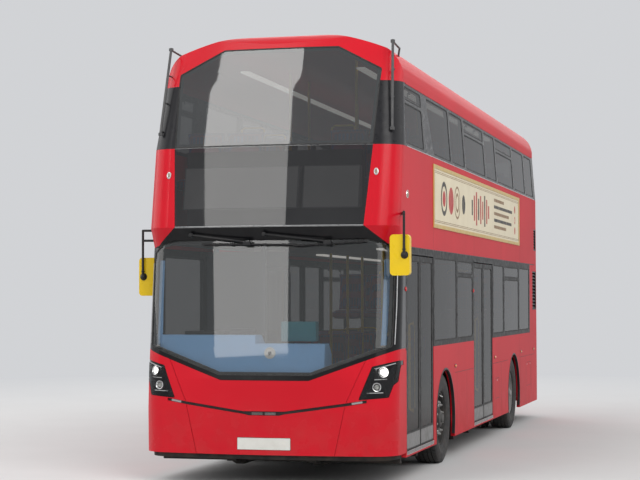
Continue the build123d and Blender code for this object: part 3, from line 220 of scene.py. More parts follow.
@dataclass(frozen=True)
class CoachPaint:
    """Two-pack coach enamel: even colour, fine peel, road film towards the skirt."""

    name: str
    colour: Colour
    shade: Colour
    film: float = 0.16
    roughness: float = 0.24
    film_foot: float = 0.24
    film_top: float = 0.9

    def dress(self, s: Shader) -> None:
        """Wire the shader.

        Args:
            s: Shader to set up.
        """
        base = s.blend(s.spread(s.noise(0.9, 3.0), 0.35, 0.7), self.colour, self.shade)
        z = s.node("SeparateXYZ", {0: s.coord}).outputs["Z"]
        height = s.spread(z, self.film_foot, self.film_top, 1.0, 0.0)
        streak = s.spread(s.noise(5.0, 6.0), 0.38, 0.72)
        film = s.maths("MULTIPLY", s.maths("MULTIPLY", height, streak), self.film)
        wash = s.spread(s.noise(2.2, 5.0, (0.4, 2.0, 0.3)), 0.55, 0.8, 0.0, 0.03)
        dirt = s.maths("ADD", film, wash)
        s.to("Base Color", s.blend(dirt, base, (0.20, 0.115, 0.085)))
        facing = s.node("LayerWeight", {"Blend": 0.5}).outputs["Facing"]
        edge_on = s.spread(facing, 0.55, 0.92, 0.0, 0.45)
        s.to("Roughness", s.maths("ADD", s.maths("MULTIPLY_ADD", dirt, 0.9, edge_on), self.roughness))
        s.set(specular=0.16, coat_weight=0.12, coat_roughness=0.08, coat_ior=1.35)
        s.bump(s.noise(260.0, 2.0), 0.06, 0.0004)
        s.bump(s.noise(2.6, 2.0, (1.0, 1.0, 0.7)), 0.10, 0.003)


@dataclass(frozen=True)
class Moulded:
    """Moulded or coated trim with a grain, dust in the grain and paler scuffs."""

    name: str
    colour: Colour
    roughness: float = 0.45
    dusty: float = 0.25
    dust: Colour = (0.16, 0.15, 0.14)
    grain: float = 500.0
    depth: float = 0.0003
    metallic: float = 0.0
    specular: float = 0.25

    def dress(self, s: Shader) -> None:
        """Wire the shader.

        Args:
            s: Shader to set up.
        """
        patch = s.spread(s.noise(7.0, 6.0), 0.42, 0.78, 0.0, self.dusty)
        s.to("Base Color", s.blend(patch, self.colour, self.dust))
        dull = min(1.0, self.roughness * 1.25)
        s.to("Roughness", s.spread(s.noise(18.0, 5.0), 0.3, 0.7, self.roughness * 0.82, dull))
        s.set(metallic=self.metallic, specular=self.specular)
        s.bump(s.noise(self.grain, 3.0), 0.5, self.depth)


@dataclass(frozen=True)
class Glazing:
    """Toughened glass with a body tint and a faint film."""

    name: str
    colour: Colour
    alpha: float
    ior: float = 1.5
    roughness: float = 0.02

    def dress(self, s: Shader) -> None:
        """Wire the shader.

        Args:
            s: Shader to set up.
        """
        s.set(alpha=self.alpha, ior=self.ior)
        smear = s.spread(s.noise(2.2, 5.0, (1.0, 1.0, 0.4)), 0.45, 0.85)
        s.to("Base Color", s.blend(smear, self.colour, tuple(c + 0.012 for c in self.colour)))
        s.to("Roughness", s.spread(smear, 0.0, 1.0, self.roughness, self.roughness + 0.03))


@dataclass(frozen=True)
class Rubber:
    """Tyre rubber: black with brown road dust in the tread and pale scuffs on the wall."""

    name: str
    colour: Colour = (0.018, 0.018, 0.019)
    dust: Colour = (0.07, 0.058, 0.048)

    def dress(self, s: Shader) -> None:
        """Wire the shader.

        Args:
            s: Shader to set up.
        """
        grime = s.spread(s.noise(9.0, 8.0), 0.4, 0.75, 0.05, 0.5)
        s.to("Base Color", s.blend(grime, self.colour, self.dust))
        s.to("Roughness", s.spread(s.noise(30.0, 4.0), 0.3, 0.7, 0.62, 0.85))
        s.bump(s.noise(420.0, 3.0), 0.5, 0.0004)


@dataclass(frozen=True)
class Moquette:
    """Woven seat cloth: coloured blocks in a check, with the pile's fine ribs."""

    name: str
    ground: Colour
    block: Colour
    accent: Colour
    pitch: float = 9.0

    def dress(self, s: Shader) -> None:
        """Wire the shader.

        Args:
            s: Shader to set up.
        """
        checks = s.node("TexChecker", {"Vector": s.coord, "Scale": self.pitch})
        lines = s.node("TexBrick", {"Vector": s.coord, "Scale": self.pitch * 1.4, "Mortar Size": 0.06})
        base = s.blend(checks.outputs["Fac"], self.ground, self.block)
        base = s.blend(s.spread(lines.outputs["Fac"], 0.4, 0.6, 0.0, 0.7), base, self.accent)
        wear = s.spread(s.noise(12.0, 5.0), 0.4, 0.8, 0.0, 0.3)
        s.to("Base Color", s.blend(wear, base, (0.12, 0.12, 0.16)))
        s.set(roughness=0.92, sheen_weight=0.5, sheen_roughness=0.4)
        s.bump(s.noise(900.0, 2.0, (1.0, 0.4, 1.0)), 0.7, 0.0006)


@dataclass(frozen=True)
class Glow:
    """A lamp lens or filament that gives light."""

    name: str
    colour: Colour
    strength: float
    base: Colour = (0.9, 0.9, 0.88)

    def dress(self, s: Shader) -> None:
        """Wire the shader.

        Args:
            s: Shader to set up.
        """
        s.set(base_color=self.base, roughness=0.12, emission_color=self.colour, emission_strength=self.strength)
        s.material.cycles.emission_sampling = "NONE"
        s.bump(s.noise(160.0, 1.0), 0.3, 0.0005)


@dataclass(frozen=True)
class PosterPrint:
    """Cream printing paper, a little stained."""

    name: str
    paper: Colour = (0.72, 0.63, 0.42)

    def dress(self, s: Shader) -> None:
        """Wire the shader.

        Args:
            s: Shader to set up.
        """
        stain = s.spread(s.noise(3.0, 6.0), 0.35, 0.75, 0.0, 0.5)
        s.to("Base Color", s.blend(stain, self.paper, (0.60, 0.50, 0.31)))
        s.set(roughness=0.42, coat_weight=0.3, coat_roughness=0.2)
        s.bump(s.noise(300.0, 2.0), 0.2, 0.0003)


class Finish(Enum):
    """Every finish on the bus."""

    RED = CoachPaint("red enamel", (0.54, 0.007, 0.018), (0.48, 0.006, 0.015))
    ROOF_RED = CoachPaint("roof enamel", (0.56, 0.009, 0.020), (0.50, 0.008, 0.017), film=0.06)
    BLACK = Moulded("black gloss surround", (0.006, 0.006, 0.007), 0.16, 0.03, depth=0.0001, specular=0.2)
    CHARCOAL = Moulded("charcoal window frame", (0.012, 0.012, 0.012), 0.42, 0.2, (0.06, 0.055, 0.05), specular=0.15)
    PILLAR = Moulded("dark grey pillar", (0.012, 0.012, 0.014), 0.3, 0.08, (0.04, 0.04, 0.042), specular=0.2)
    SATIN_BLACK = Moulded("satin black trim", (0.014, 0.014, 0.015), 0.4, 0.12)
    # Chassis black; on the lower floor's front strip it is also painted shade, the shadow under the bumper.
    UNDERSIDE = Moulded("chassis black", (0.020, 0.019, 0.018), 0.7, 0.6, (0.09, 0.07, 0.055), 60.0, 0.001)
    CAST = Moulded("cast grey", (0.09, 0.088, 0.085), 0.6, 0.5, grain=120.0, depth=0.001)
    WHEEL_GREY = Moulded("wheel grey", (0.30, 0.30, 0.30), 0.45, 0.7, (0.12, 0.10, 0.085), 90.0)
    WHEEL_DARK = Moulded("wheel dark", (0.035, 0.034, 0.033), 0.5, 0.7, (0.10, 0.085, 0.07), 90.0)
    GUARD = Moulded("guard grey", (0.07, 0.07, 0.072), 0.5, 0.3)
    KICK = Moulded("grey kick panel", (0.20, 0.20, 0.20), 0.5, 0.5, (0.10, 0.09, 0.08))
    READER = Moulded("teal reader", (0.025, 0.16, 0.20), 0.4, 0.2, (0.10, 0.26, 0.30))
    CREASE_LENS = Moulded("pale strip", (0.35, 0.36, 0.37), 0.25, 0.2)
    STEEL = Moulded("bare steel", (0.55, 0.55, 0.54), 0.35, 0.4, (0.2, 0.18, 0.16), metallic=0.9)
    # Silver trim; along the lower windscreen's side edges and under the destination glass it is a painted highlight.
    ALUMINIUM = Moulded("silver edge", (0.58, 0.58, 0.58), 0.3, metallic=0.85)
    GOLD = Moulded("gold frame", (0.60, 0.42, 0.13), 0.36, 0.3, (0.35, 0.26, 0.12), metallic=0.35)
    YELLOW = Moulded("yellow shell", (0.71, 0.48, 0.011), 0.3, 0.15, (0.5, 0.36, 0.05), depth=0.0001)
    POLE = Moulded("yellow pole", (0.78, 0.50, 0.02), 0.35, 0.2, (0.5, 0.35, 0.08), 300.0)
    CAB_BLUE = Moulded("light blue cab trim", (0.22, 0.43, 0.71), 0.45, 0.4, (0.24, 0.40, 0.62))
    FLOOR = Moulded("speckled floor vinyl", (0.06, 0.07, 0.10), 0.6, 0.5, (0.16, 0.17, 0.2), 250.0)
    LINING = Moulded("pale lining", (0.24, 0.24, 0.23), 0.5, 0.3, (0.17, 0.17, 0.16))
    SEAT_SHELL = Moulded("seat shell grey", (0.10, 0.11, 0.13), 0.5)
    PLATE_WHITE = Moulded("white plate", (0.62, 0.62, 0.58), 0.35, 0.4, (0.4, 0.38, 0.33))
    PLATE_YELLOW = Moulded("yellow plate", (0.70, 0.52, 0.04), 0.35, 0.4, (0.4, 0.3, 0.1))
    REFLECTOR = Moulded("chromed bowl", (0.82, 0.82, 0.82), 0.08, 0.05, metallic=1.0)
    AMBER = Moulded("amber lens", (0.75, 0.20, 0.01), 0.15, 0.1)
    RED_LENS = Moulded("red lens", (0.50, 0.008, 0.010), 0.15, 0.1)
    CLEAR_LENS = Moulded("clear lens", (0.55, 0.55, 0.52), 0.1, 0.1)
    PRINT_RED = Moulded("printed red", (0.42, 0.03, 0.03), 0.45, 0.3, (0.5, 0.3, 0.2))
    PRINT_BLACK = Moulded("printed black", (0.03, 0.028, 0.026), 0.45, 0.4, (0.3, 0.25, 0.16))
    PRINT_BROWN = Moulded("printed brown", (0.22, 0.13, 0.06), 0.45, 0.4, (0.5, 0.4, 0.25))
    SHEET = PosterPrint("cream sheet")
    WINDSCREEN = Glazing("windscreen glass", (0.010, 0.014, 0.014), 0.46, 2.15)
    LAMP_COVER = Glazing("lamp cover", (0.02, 0.02, 0.022), 0.22)
    UPPER_SCREEN = Glazing("upper windscreen glass", (0.006, 0.009, 0.010), 0.74, 2.15)
    SIDE_GLASS = Glazing("side glass", (0.004, 0.005, 0.005), 0.86, 1.14)
    DOOR_GLASS = Glazing("door glass", (0.005, 0.006, 0.006), 0.78, 1.14)
    DARK_GLASS = Glazing("destination glass", (0.003, 0.003, 0.004), 0.70, 1.75)
    INNER_FACE = Glazing("inner glass face", (0.004, 0.005, 0.005), 0.03, 1.1)
    MIRROR_GLASS = Moulded("mirror glass", (0.75, 0.77, 0.78), 0.03, 0.02, metallic=1.0)
    TYRE = Rubber("tyre rubber")
    SEAL = Rubber("seal rubber", (0.012, 0.012, 0.012), (0.05, 0.048, 0.045))
    SEAT_CLOTH = Moquette("seat moquette", (0.015, 0.035, 0.16), (0.03, 0.09, 0.30), (0.35, 0.03, 0.05))
    CAB_CLOTH = Moquette("cab seat cloth", (0.02, 0.02, 0.03), (0.03, 0.03, 0.045), (0.05, 0.06, 0.1), 14.0)
    HEADLAMP = Glow("lit headlamp", (1.0, 0.98, 0.94), 3.0)
    SIDELAMP = Glow("side lamp lens", (1.0, 0.93, 0.8), 0.02, (0.26, 0.21, 0.15))
    DISPLAY = Moulded("display matrix", (0.20, 0.20, 0.20), 0.6, 0.3, (0.14, 0.14, 0.14), 160.0, 0.0006)
    CEILING_LIGHT = Glow("ceiling strip", (1.0, 0.97, 0.9), 0.45)

    def material(self) -> bpy.types.Material:
        """The finish's material, made once.

        Returns:
            The material.
        """
        found = bpy.data.materials.get(self.value.name)
        if found:
            return found
        shader = Shader(self.value.name)
        self.value.dress(shader)
        return shader.material


# Mesh helpers


def link(name: str, data: bpy.types.ID) -> Object:
    """Make an object of some data and put it in the scene.

    Args:
        name: Its name.
        data: Its data.

    Returns:
        The object.
    """
    obj = bpy.data.objects.new(name, data)
    bpy.context.collection.objects.link(obj)
    return obj


def dress(obj: Object, *finishes: Finish, pick: Callable[[bpy.types.MeshPolygon], int] | None = None) -> Object:
    """Give an object its finishes.

    Args:
        obj: Object to dress.
        finishes: Its finishes, the first for every face that isn't picked out.
        pick: Gives the number of a face's finish.

    Returns:
        The same object.
    """
    obj.data.materials.clear()
    for finish in finishes:
        obj.data.materials.append(finish.material())
    if pick:
        for face in obj.data.polygons:
            face.material_index = int(pick(face))
    return obj


def glaze(obj: Object, finish: Finish) -> Object:
    """Give panes their glass on the outer faces and a nearly clear one on the inner faces.

    Args:
        obj: Object to dress.
        finish: Glass of its outer faces.

    Returns:
        The same object.
    """

    def inner(face: bpy.types.MeshPolygon) -> bool:
        """Tell whether a face looks inwards.

        Args:
            face: Face to look at.

        Returns:
            True for an inner face.
        """
        middle, normal = face.center, face.normal
        ends = max(abs(middle.y) - SIZES.straight, 0.0) * math.copysign(1.0, middle.y)
        return normal.x * middle.x * 0.4 + normal.y * ends <= 0

    return dress(obj, finish, Finish.INNER_FACE, pick=inner)


def face_xs(obj: Object, face: bpy.types.MeshPolygon) -> Flat:
    """Lowest and highest X of a face's corners."""
    xs = [obj.data.vertices[i].co.x for i in face.vertices]
    return min(xs), max(xs)


def box(x: float, z: float, w: float, h: float) -> list[Flat]:
    """Corners of an upright box about its middle."""
    w, h = w / 2, h / 2
    return [(x - w, z - h), (x + w, z - h), (x + w, z + h), (x - w, z + h)]


def dome(foot: float, r: float, start: float, rise: float, cap_r: float, steps: int, first: int = 0) -> list[Flat]:
    """Profile of a domed lens, as (along, radius).

    Args:
        foot: Where its flat back lies.
        r: Radius of the back.
        start: Where the dome starts.
        rise: How far the dome rises.
        cap_r: Radius of the dome.
        steps: Steps of its curve.
        first: First step.

    Returns:
        The profile.
    """
    arc = [QUARTER * k / steps for k in range(first, steps + 1)]
    return [(foot, TIP), (foot, r)] + [(start + rise * math.sin(a), cap_r * math.cos(a) + TIP) for a in arc]


def loft(rows: int, n: int, closed: bool = False) -> Faces:
    """Quads between rows of n points, each row a closed ring.

    Args:
        rows: Number of rows.
        n: Points in each.
        closed: Whether the last row joins the first.

    Returns:
        The faces.
    """
    pairs = [(k * n, (k + 1) % rows * n) for k in range(rows if closed else rows - 1)]
    return [[a + i, a + (i + 1) % n, b + (i + 1) % n, b + i] for a, b in pairs for i in range(n)]


def hull(rows: int, n: int) -> Faces:
    """Faces of a run of rows of n points with both ends capped."""
    last = (rows - 1) * n
    return loft(rows, n) + [list(range(n))[::-1], list(range(last, last + n))]


def shell(rows: int, n: int) -> Faces:
    """Faces of two grids of rows of n points, one over the other, joined round the edge.

    Args:
        rows: Rows in each grid.
        n: Points in each row.

    Returns:
        The faces.
    """
    total = rows * n
    top = [[a, a + 1, a + n + 1, a + n] for r in range(rows - 1) for a in range(r * n, r * n + n - 1)]
    ends = [*range(total - 2, total - n - 1, -1), *range(total - 2 * n, 0, -n)]
    loop = [*range(n), *range(2 * n - 1, total, n), *ends]
    rim = [[a, a + total, b + total, b] for a, b in zip(loop, [*loop[1:], loop[0]])]
    return top + [[a + total for a in reversed(f)] for f in top] + rim


@dataclass
class Build:
    """Collects points and faces of one piece made from many parts."""

    verts: list[Point] = field(default_factory=list)
    faces: list[tuple[int, ...]] = field(default_factory=list)

    def add(self, verts: Iterable[Point], faces: Iterable[Sequence[int]]) -> "Build":
        """Add points and faces, numbered from the part's own first point.

        Args:
            verts: Corners.
            faces: Faces, as numbers of these corners.

        Returns:
            The same build.
        """
        base = len(self.verts)
        self.verts.extend(tuple(v) for v in verts)
        self.faces.extend(tuple(base + i for i in f) for f in faces)
        return self

    def join(self, other: "Build") -> "Build":
        """Add another build's parts."""
        return self.add(other.verts, other.faces)

    def block(self, low: Point, high: Point, bevel: float = 0.0) -> "Build":
        """Add a block with bevelled edges.

        Args:
            low: Lowest corner.
            high: Highest corner.
            bevel: Width of the bevel.

        Returns:
            The build itself.
        """
        bm = bmesh.new()
        bmesh.ops.create_cube(bm, size=1.0)
        size = [max(1e-4, b - a) for a, b in zip(low, high)]
        mid = [(a + b) / 2 for a, b in zip(low, high)]
        bm.transform(Matrix.Translation(mid) @ Matrix.Diagonal((*size, 1.0)))
        if bevel:
            width = min(bevel, min(size) * 0.45)
            bmesh.ops.bevel(bm, geom=bm.edges[:], offset=width, segments=2, profile=0.7, affect="EDGES")
        bm.verts.index_update()
        self.add([v.co[:] for v in bm.verts], [[v.index for v in f.verts] for f in bm.faces])
        bm.free()
        return self

    def lump(self, at: Sequence[float], w: float, d: float, h: float, bevel: float = 0.0) -> "Build":
        """Add a block about its middle, with half sizes."""
        x, y, z = at
        return self.block((x - w, y - d, z - h), (x + w, y + d, z + h), bevel)

    def tube(self, path: Sequence[Point], r: float, sides: int = 12) -> "Build":
        """Add a round tube along a path, capped at both ends.

        Args:
            path: Points it runs through.
            r: Its radius.
            sides: Corners of its section.

        Returns:
            The build itself.
        """
        points = [Vector(p) for p in path]
        rings: list[Point] = []
        side = None
        for i, p in enumerate(points):
            ahead = (points[min(i + 1, len(points) - 1)] - points[max(i - 1, 0)]).normalized()
            side = (side - ahead * side.dot(ahead) if side else ahead.orthogonal()).normalized()
            other = ahead.cross(side)
            for k in range(sides):
                a = 2 * math.pi * k / sides
                rings.append(tuple(p + side * (r * math.cos(a)) + other * (r * math.sin(a))))
        return self.add(rings, hull(len(points), sides))

    def turn(self, profile: Sequence[Flat], centre: Sequence[float], axis: str = "X", steps: int = 64) -> "Build":
        """Revolve a closed profile of (along, radius) points.

        Args:
            profile: Points along the axis and out from it.
            centre: Point on the axis where along is 0.
            axis: X, Y or Z.
            steps: Steps round the axis.

        Returns:
            The build itself.
        """
        order = {"X": (0, 1, 2), "Y": (1, 2, 0), "Z": (2, 0, 1)}[axis]
        verts: list[list[float]] = []
        for k in range(steps):
            a = 2 * math.pi * k / steps
            for along, r in profile:
                verts.append(list(centre))
                for i, move in zip(order, (along, r * math.cos(a), r * math.sin(a))):
                    verts[-1][i] += move
        return self.add(verts, loft(steps, len(profile), True))

    def slab(self, outline: Sequence[Point], depth: Point) -> "Build":
        """Add a plate: a closed outline and the same outline moved by a depth."""
        front = [tuple(Vector(p) + Vector(depth)) for p in outline]
        return self.add([*outline, *front], hull(2, len(outline)))

    def band(self, outer: Sequence[Point], inner: Sequence[Point], depth: Point) -> "Build":
        """Add a closed band between two outlines of as many points, as thick as a depth."""
        back = [tuple(Vector(p) + Vector(depth)) for p in [*inner, *outer]]
        return self.add([*outer, *inner, *back], loft(4, len(outer), True))

    def finish(self, name: str, finish: Finish, body: Body = Body.SHELL) -> Object:
        """Turn the build into a piece.

        Args:
            name: Piece name.
            finish: Its finish.
            body: Body it rides on.

        Returns:
            The new object.
        """
        mesh = bpy.data.meshes.new(name)
        mesh.from_pydata(self.verts, [], self.faces)
        obj = dress(link(name, mesh), finish)
        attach(obj, body.value)
        bm = bmesh.new()
        bm.from_mesh(mesh)
        bmesh.ops.remove_doubles(bm, verts=bm.verts, dist=1e-6)
        bmesh.ops.dissolve_degenerate(bm, edges=bm.edges, dist=1e-6)
        bmesh.ops.recalc_face_normals(bm, faces=bm.faces)
        bm.to_mesh(mesh)
        bm.free()
        return obj

    def polish(self, name: str, finish: Finish, body: Body = Body.SHELL, degrees: float = 35.0) -> Object:
        """Turn the build into a piece that is shaded smooth where it turns by less than an angle.

        Args:
            name: Piece name.
            finish: Its finish.
            body: Body it rides on.
            degrees: Angle from which an edge stays sharp.

        Returns:
            The piece.
        """
        obj = self.finish(name, finish, body)
        bm = bmesh.new()
        bm.from_mesh(obj.data)
        for face in bm.faces:
            face.smooth = True
        for edge in bm.edges:
            edge.smooth = len(edge.link_faces) == 2 and edge.calc_face_angle(0.0) < math.radians(degrees)
        bm.to_mesh(obj.data)
        bm.free()
        return obj


def rounded(points: Sequence[Flat], radius: float, steps: int = 5) -> list[Flat]:
    """Round the corners of a closed flat outline.

    Args:
        points: Corners.
        radius: Corner radius.
        steps: Segments at each corner.

    Returns:
        The rounded outline.
    """
    out: list[Flat] = []
    for i, corner in enumerate(points):
        p = Vector(corner)
        a = (Vector(points[i - 1]) - p).normalized()
        b = (Vector(points[(i + 1) % len(points)]) - p).normalized()
        half = a.angle(b) / 2
        reach = radius / math.tan(half)
        middle = p + (a + b).normalized() * (radius / math.sin(half))
        start, end = p + a * reach - middle, p + b * reach - middle
        out += [tuple(middle + start.lerp(end, k / steps).normalized() * radius) for k in range(steps + 1)]
    return out


def ribbon(path: Sequence[Vector], width: float, proud: float, thick: float, skin: Callable[..., Point]) -> Build:
    """Flat strip along a path that lies on a skin.

    Args:
        path: Points of the flat view.
        width: Its width across the path.
        proud: Height of its outer face over the skin.
        thick: Its thickness.
        skin: Gives a point for two coordinates of the view and a height over the skin.

    Returns:
        The build that holds it.
    """
    verts: list[Point] = []
    for i, p in enumerate(path):
        ahead = (path[min(i + 1, len(path) - 1)] - path[max(i - 1, 0)]).normalized()
        across = Vector((-ahead.y, ahead.x)) * (width / 2)
        for q, heights in ((p + across, (proud, proud - thick)), (p - across, (proud - thick, proud))):
            verts += [skin(q.x, q.y, height) for height in heights]
    return Build().add(verts, hull(len(path), 4))


@dataclass
class Nose:
    """The swept nose and its rounded corners, as a function of height.

    Each level is z, set back, half width, x where the corner starts, corner depth, in metres.
    """

    sweep: float = 0.08
    lower: tuple[tuple[float, ...], ...] = (
        (0.245, 0.015, 1.26, 1.01, 0.28),
        (0.7, 0.0, 1.26, 1.01, 0.28),
        (1.0, 0.015, 1.26, 1.01, 0.28),
        (2.27, 0.165, 1.26, 1.01, 0.28),
    )
    upper: tuple[tuple[float, ...], ...] = (
        (2.27, 0.185, 1.26, 1.01, 0.26),
        (2.46, 0.085, 1.26, 1.02, 0.25),
        (3.243, 0.245, 1.26, 1.04, 0.23),
        (3.87, 0.44, 1.214, 1.01, 0.22),
        (4.475, 0.725, 1.214, 1.01, 0.22),
    )

    def level(self, z: float) -> list[float]:
        """Set back, half width, corner x and corner depth at a height.

        Args:
            z: Height.

        Returns:
            The four values.
        """
        table = self.lower if z < self.lower[-1][0] else self.upper
        low, high = next(((a, b) for a, b in zip(table, table[1:]) if z <= b[0]), table[-2:])
        t = (z - low[0]) / (high[0] - low[0])
        return [a + (b - a) * t for a, b in zip(low[1:], high[1:])]

    def station(self, x: float, z: float) -> float:
        """Station of the skin at a point of the front view.

        Args:
            x: Across the bus.
            z: Height.

        Returns:
            Distance behind the foremost point.
        """
        back, half, edge, depth = self.level(z)
        x = min(abs(x), half - 0.001)
        if x <= edge:
            r = (edge * edge + self.sweep * self.sweep) / (2 * self.sweep)
            return back + r - math.sqrt(r * r - x * x)
        p = (edge, back + self.sweep)
        q = (edge + (half - edge) * 0.72, back + self.sweep + depth * 0.3)
        w = (half, back + self.sweep + depth)
        d = 2 * (p[0] * (q[1] - w[1]) + q[0] * (w[1] - p[1]) + w[0] * (p[1] - q[1]))
        pp, qq, ww = (v[0] ** 2 + v[1] ** 2 for v in (p, q, w))
        cx = (pp * (q[1] - w[1]) + qq * (w[1] - p[1]) + ww * (p[1] - q[1])) / d
        cy = (pp * (w[0] - q[0]) + qq * (p[0] - w[0]) + ww * (q[0] - p[0])) / d
        r = math.hypot(p[0] - cx, p[1] - cy)
        return cy - math.sqrt(max(0.0, r * r - (x - cx) ** 2))

    def point(self, x: float, z: float, proud: float = 0.0) -> Vector:
        """Point on the skin, moved out along its normal."""
        at = Vector((x, SIZES.y(self.station(x, z)), z))
        return at + self.normal(x, z) * proud if proud else at

    def normal(self, x: float, z: float, step: float = 0.004) -> Vector:
        """Outward normal of the skin.

        Args:
            x: Across the bus.
            z: Height.
            step: Distance to its neighbours.

        Returns:
            The unit normal.
        """
        along = Vector((2 * step, self.station(x + step, z) - self.station(x - step, z), 0.0))
        up = Vector((0.0, self.station(x, z + step) - self.station(x, z - step), 2 * step))
        return along.cross(up).normalized()

    def patch(self, outline: Sequence[Flat], proud: float, rings: int) -> tuple[list[Point], Faces]:
        """Skin patch inside a front-view outline.

        Args:
            outline: Corners as (x, z), ordered round the patch.
            proud: Height over the skin.
            rings: Steps from the edge to the middle.

        Returns:
            Points and faces.
        """
        n = len(outline)
        mx, mz = (sum(p[i] for p in outline) / n for i in (0, 1))
        places = [(x + (mx - x) * k / rings, z + (mz - z) * k / rings) for k in range(rings) for x, z in outline]
        last = (rings - 1) * n
        fan = [[last + i, last + (i + 1) % n, rings * n] for i in range(n)]
        return [tuple(self.point(x, z, proud)) for x, z in [*places, (mx, mz)]], loft(rings, n) + fan

    def strip(self, line: Sequence[Flat], width: float, proud: float, thick: float, step: float = 0.03) -> Build:
        """Flat strip that lies on the skin along a front-view line.

        Args:
            line: Points as (x, z).
            width: Its width across the line.
            proud: Height of its outer face over the skin.
            thick: Its thickness.
            step: Longest stretch between two sections.

        Returns:
            The build that holds it.
        """
        path = [*evenly(line, step), Vector(line[-1])]
        return ribbon(path, width, proud, thick, self.point)

    def stud(
        self, x: float, z: float, profile: Sequence[Flat], steps: int, sunk: float = 0.0, tall: float = 1.0
    ) -> Build:
        """Revolve a profile about the skin's normal at a point of the front view.

        Args:
            x: Across the bus.
            z: Height.
            profile: Points as (out of the skin, radius).
            steps: Steps round the normal.
            sunk: How far its origin lies under the skin.
            tall: Stretch up the skin.

        Returns:
            The build that holds it.
        """
        normal = self.normal(x, z)
        across = Vector((0, 0, 1)).cross(normal).normalized()
        turn = Matrix((across, normal.cross(across), normal)).transposed()
        centre = self.point(x, z, -sunk)
        build = Build().turn(profile, (0, 0, 0), "Z", steps)
        build.verts = [tuple(centre + turn @ Vector((a, b * tall, c))) for a, b, c in build.verts]
        return build


def evenly(line: Sequence[Flat], step: float) -> list[Vector]:
    """Points along a line, without its last, no further apart than a step.

    Args:
        line: Points of the line.
        step: Longest distance between two points.

    Returns:
        The points.
    """
    path: list[Vector] = []
    for a, b in zip(line, line[1:]):
        a, b = Vector(a), Vector(b)
        count = max(1, math.ceil((b - a).length / step))
        path += [a.lerp(b, k / count) for k in range(count)]
    return path


NOSE = Nose()
SCREEN_SKIN = Nose(lower=Nose.lower + ((2.348, 0.1742, 1.26, 1.01, 0.28),))


def flank_x(z: float) -> float:
    """X of the flank's skin at a height."""
    over = max(0.0, z - SIZES.upper_sill)
    return SIZES.half - over / (SIZES.roof_rail - SIZES.upper_sill) * SIZES.lean


# Stage, light and camera


@dataclass
class Studio:
    """Pale floor, pale surroundings and soft lamps."""

    floor_size: float = 240.0
    fade: Flat = (7.5, 19.0)
    background: Colour = (0.64, 0.65, 0.67)
    floor_colour: Colour = (0.62, 0.62, 0.62)
    ambient_colour: Colour = (0.95, 0.97, 1.0)
    ambient: float = 0.55
    lamp_colour: Colour = (1.0, 0.985, 0.965)
    lamps: tuple[tuple[str, Point, Point, float, float, float], ...] = (
        ("sky_strip", (-6.8, -17.4, 15.3), (-6.8, -0.2, 5.1), 6.4, 24.0, 1500.0),
        ("key", (12.0, -17.0, 16.0), (0.0, -4.0, 3.0), 12.0, 12.0, 1650.0),
        ("fill", (11.0, -17.0, 10.0), (0.0, -1.0, 1.5), 14.0, 14.0, 750.0),
        ("side", (17.0, 3.0, 12.0), (0.0, 1.0, 1.5), 18.0, 18.0, 950.0),
        ("offside", (-16.0, -3.0, 11.0), (0.0, 0.0, 1.5), 18.0, 18.0, 1400.0),
        ("back", (-5.0, 19.0, 12.0), (0.0, 2.0, 1.5), 18.0, 18.0, 1650.0),
    )

    def seen(self, tree: Tree) -> Socket:
        """What is 1 for the rays that show the surroundings: camera, glossy and transmission.

        Args:
            tree: Tree to add the nodes to.

        Returns:
            The socket that gives it.
        """
        path = tree.node("LightPath")
        total = path.outputs["Is Camera Ray"]
        for name in ("Is Glossy Ray", "Is Transmission Ray"):
            total = tree.node("Math", {0: total, 1: path.outputs[name]}, operation="ADD", use_clamp=True).outputs[0]
        return total

    def floor(self) -> None:
        """Lay the floor with a very faint grain, which fades into the background far from the bus."""
        mesh = bpy.data.meshes.new("studio_floor")
        corners = box(0, 0, self.floor_size, self.floor_size)
        mesh.from_pydata([(x, y, 0) for x, y in corners], [], [(0, 1, 2, 3)])
        s = Shader("studio floor")
        cloud = s.spread(s.noise(0.8, 3.0), 0.3, 0.7)
        s.to("Base Color", s.blend(cloud, self.floor_colour, tuple(c * 0.97 for c in self.floor_colour)))
        s.set(roughness=0.9, specular=0.1)
        away = s.node("VectorMath", {0: s.coord}, operation="LENGTH").outputs["Value"]
        share = s.maths("MULTIPLY", s.spread(away, *self.fade), self.seen(s))
        glow = s.node("Emission", {"Color": (*self.background, 1.0), "Strength": 1.0})
        mix = s.node("MixShader", {0: share, 1: s.bsdf.outputs[0], 2: glow.outputs[0]})
        s.tree.links.new(mix.outputs[0], s.out.inputs[0])
        mesh.materials.append(s.material)
        link("studio_floor", mesh)

    def world(self) -> None:
        """Show the background to the camera, glass and metal, and a plainer level to matt surfaces."""
        world = bpy.data.worlds.new("studio")
        bpy.context.scene.world = world
        world.use_nodes = True
        tree = Tree(world.node_tree)
        plain = tree.node("Background", {"Color": (*self.ambient_colour, 1.0), "Strength": self.ambient})
        shown = tree.node("Background", {"Color": (*self.background, 1.0), "Strength": 1.0})
        mix = tree.node("MixShader", {0: self.seen(tree), 1: plain.outputs[0], 2: shown.outputs[0]})
        tree.node("OutputWorld", {0: mix.outputs[0]})

    def light(self) -> None:
        """Hang a tall strip that the nose glass mirrors, the key, a fill along the nearside and softer ones behind."""
        for name, place, target, width, tall, power in self.lamps:
            light = bpy.data.lights.new(name, "AREA")
            light.shape = "RECTANGLE"
            light.size, light.size_y = width, tall
            light.energy = power
            light.color = self.lamp_colour
            obj = link(name, light)
            obj.location = place
            obj.rotation_euler = (Vector(target) - Vector(place)).to_track_quat("-Z", "Y").to_euler()


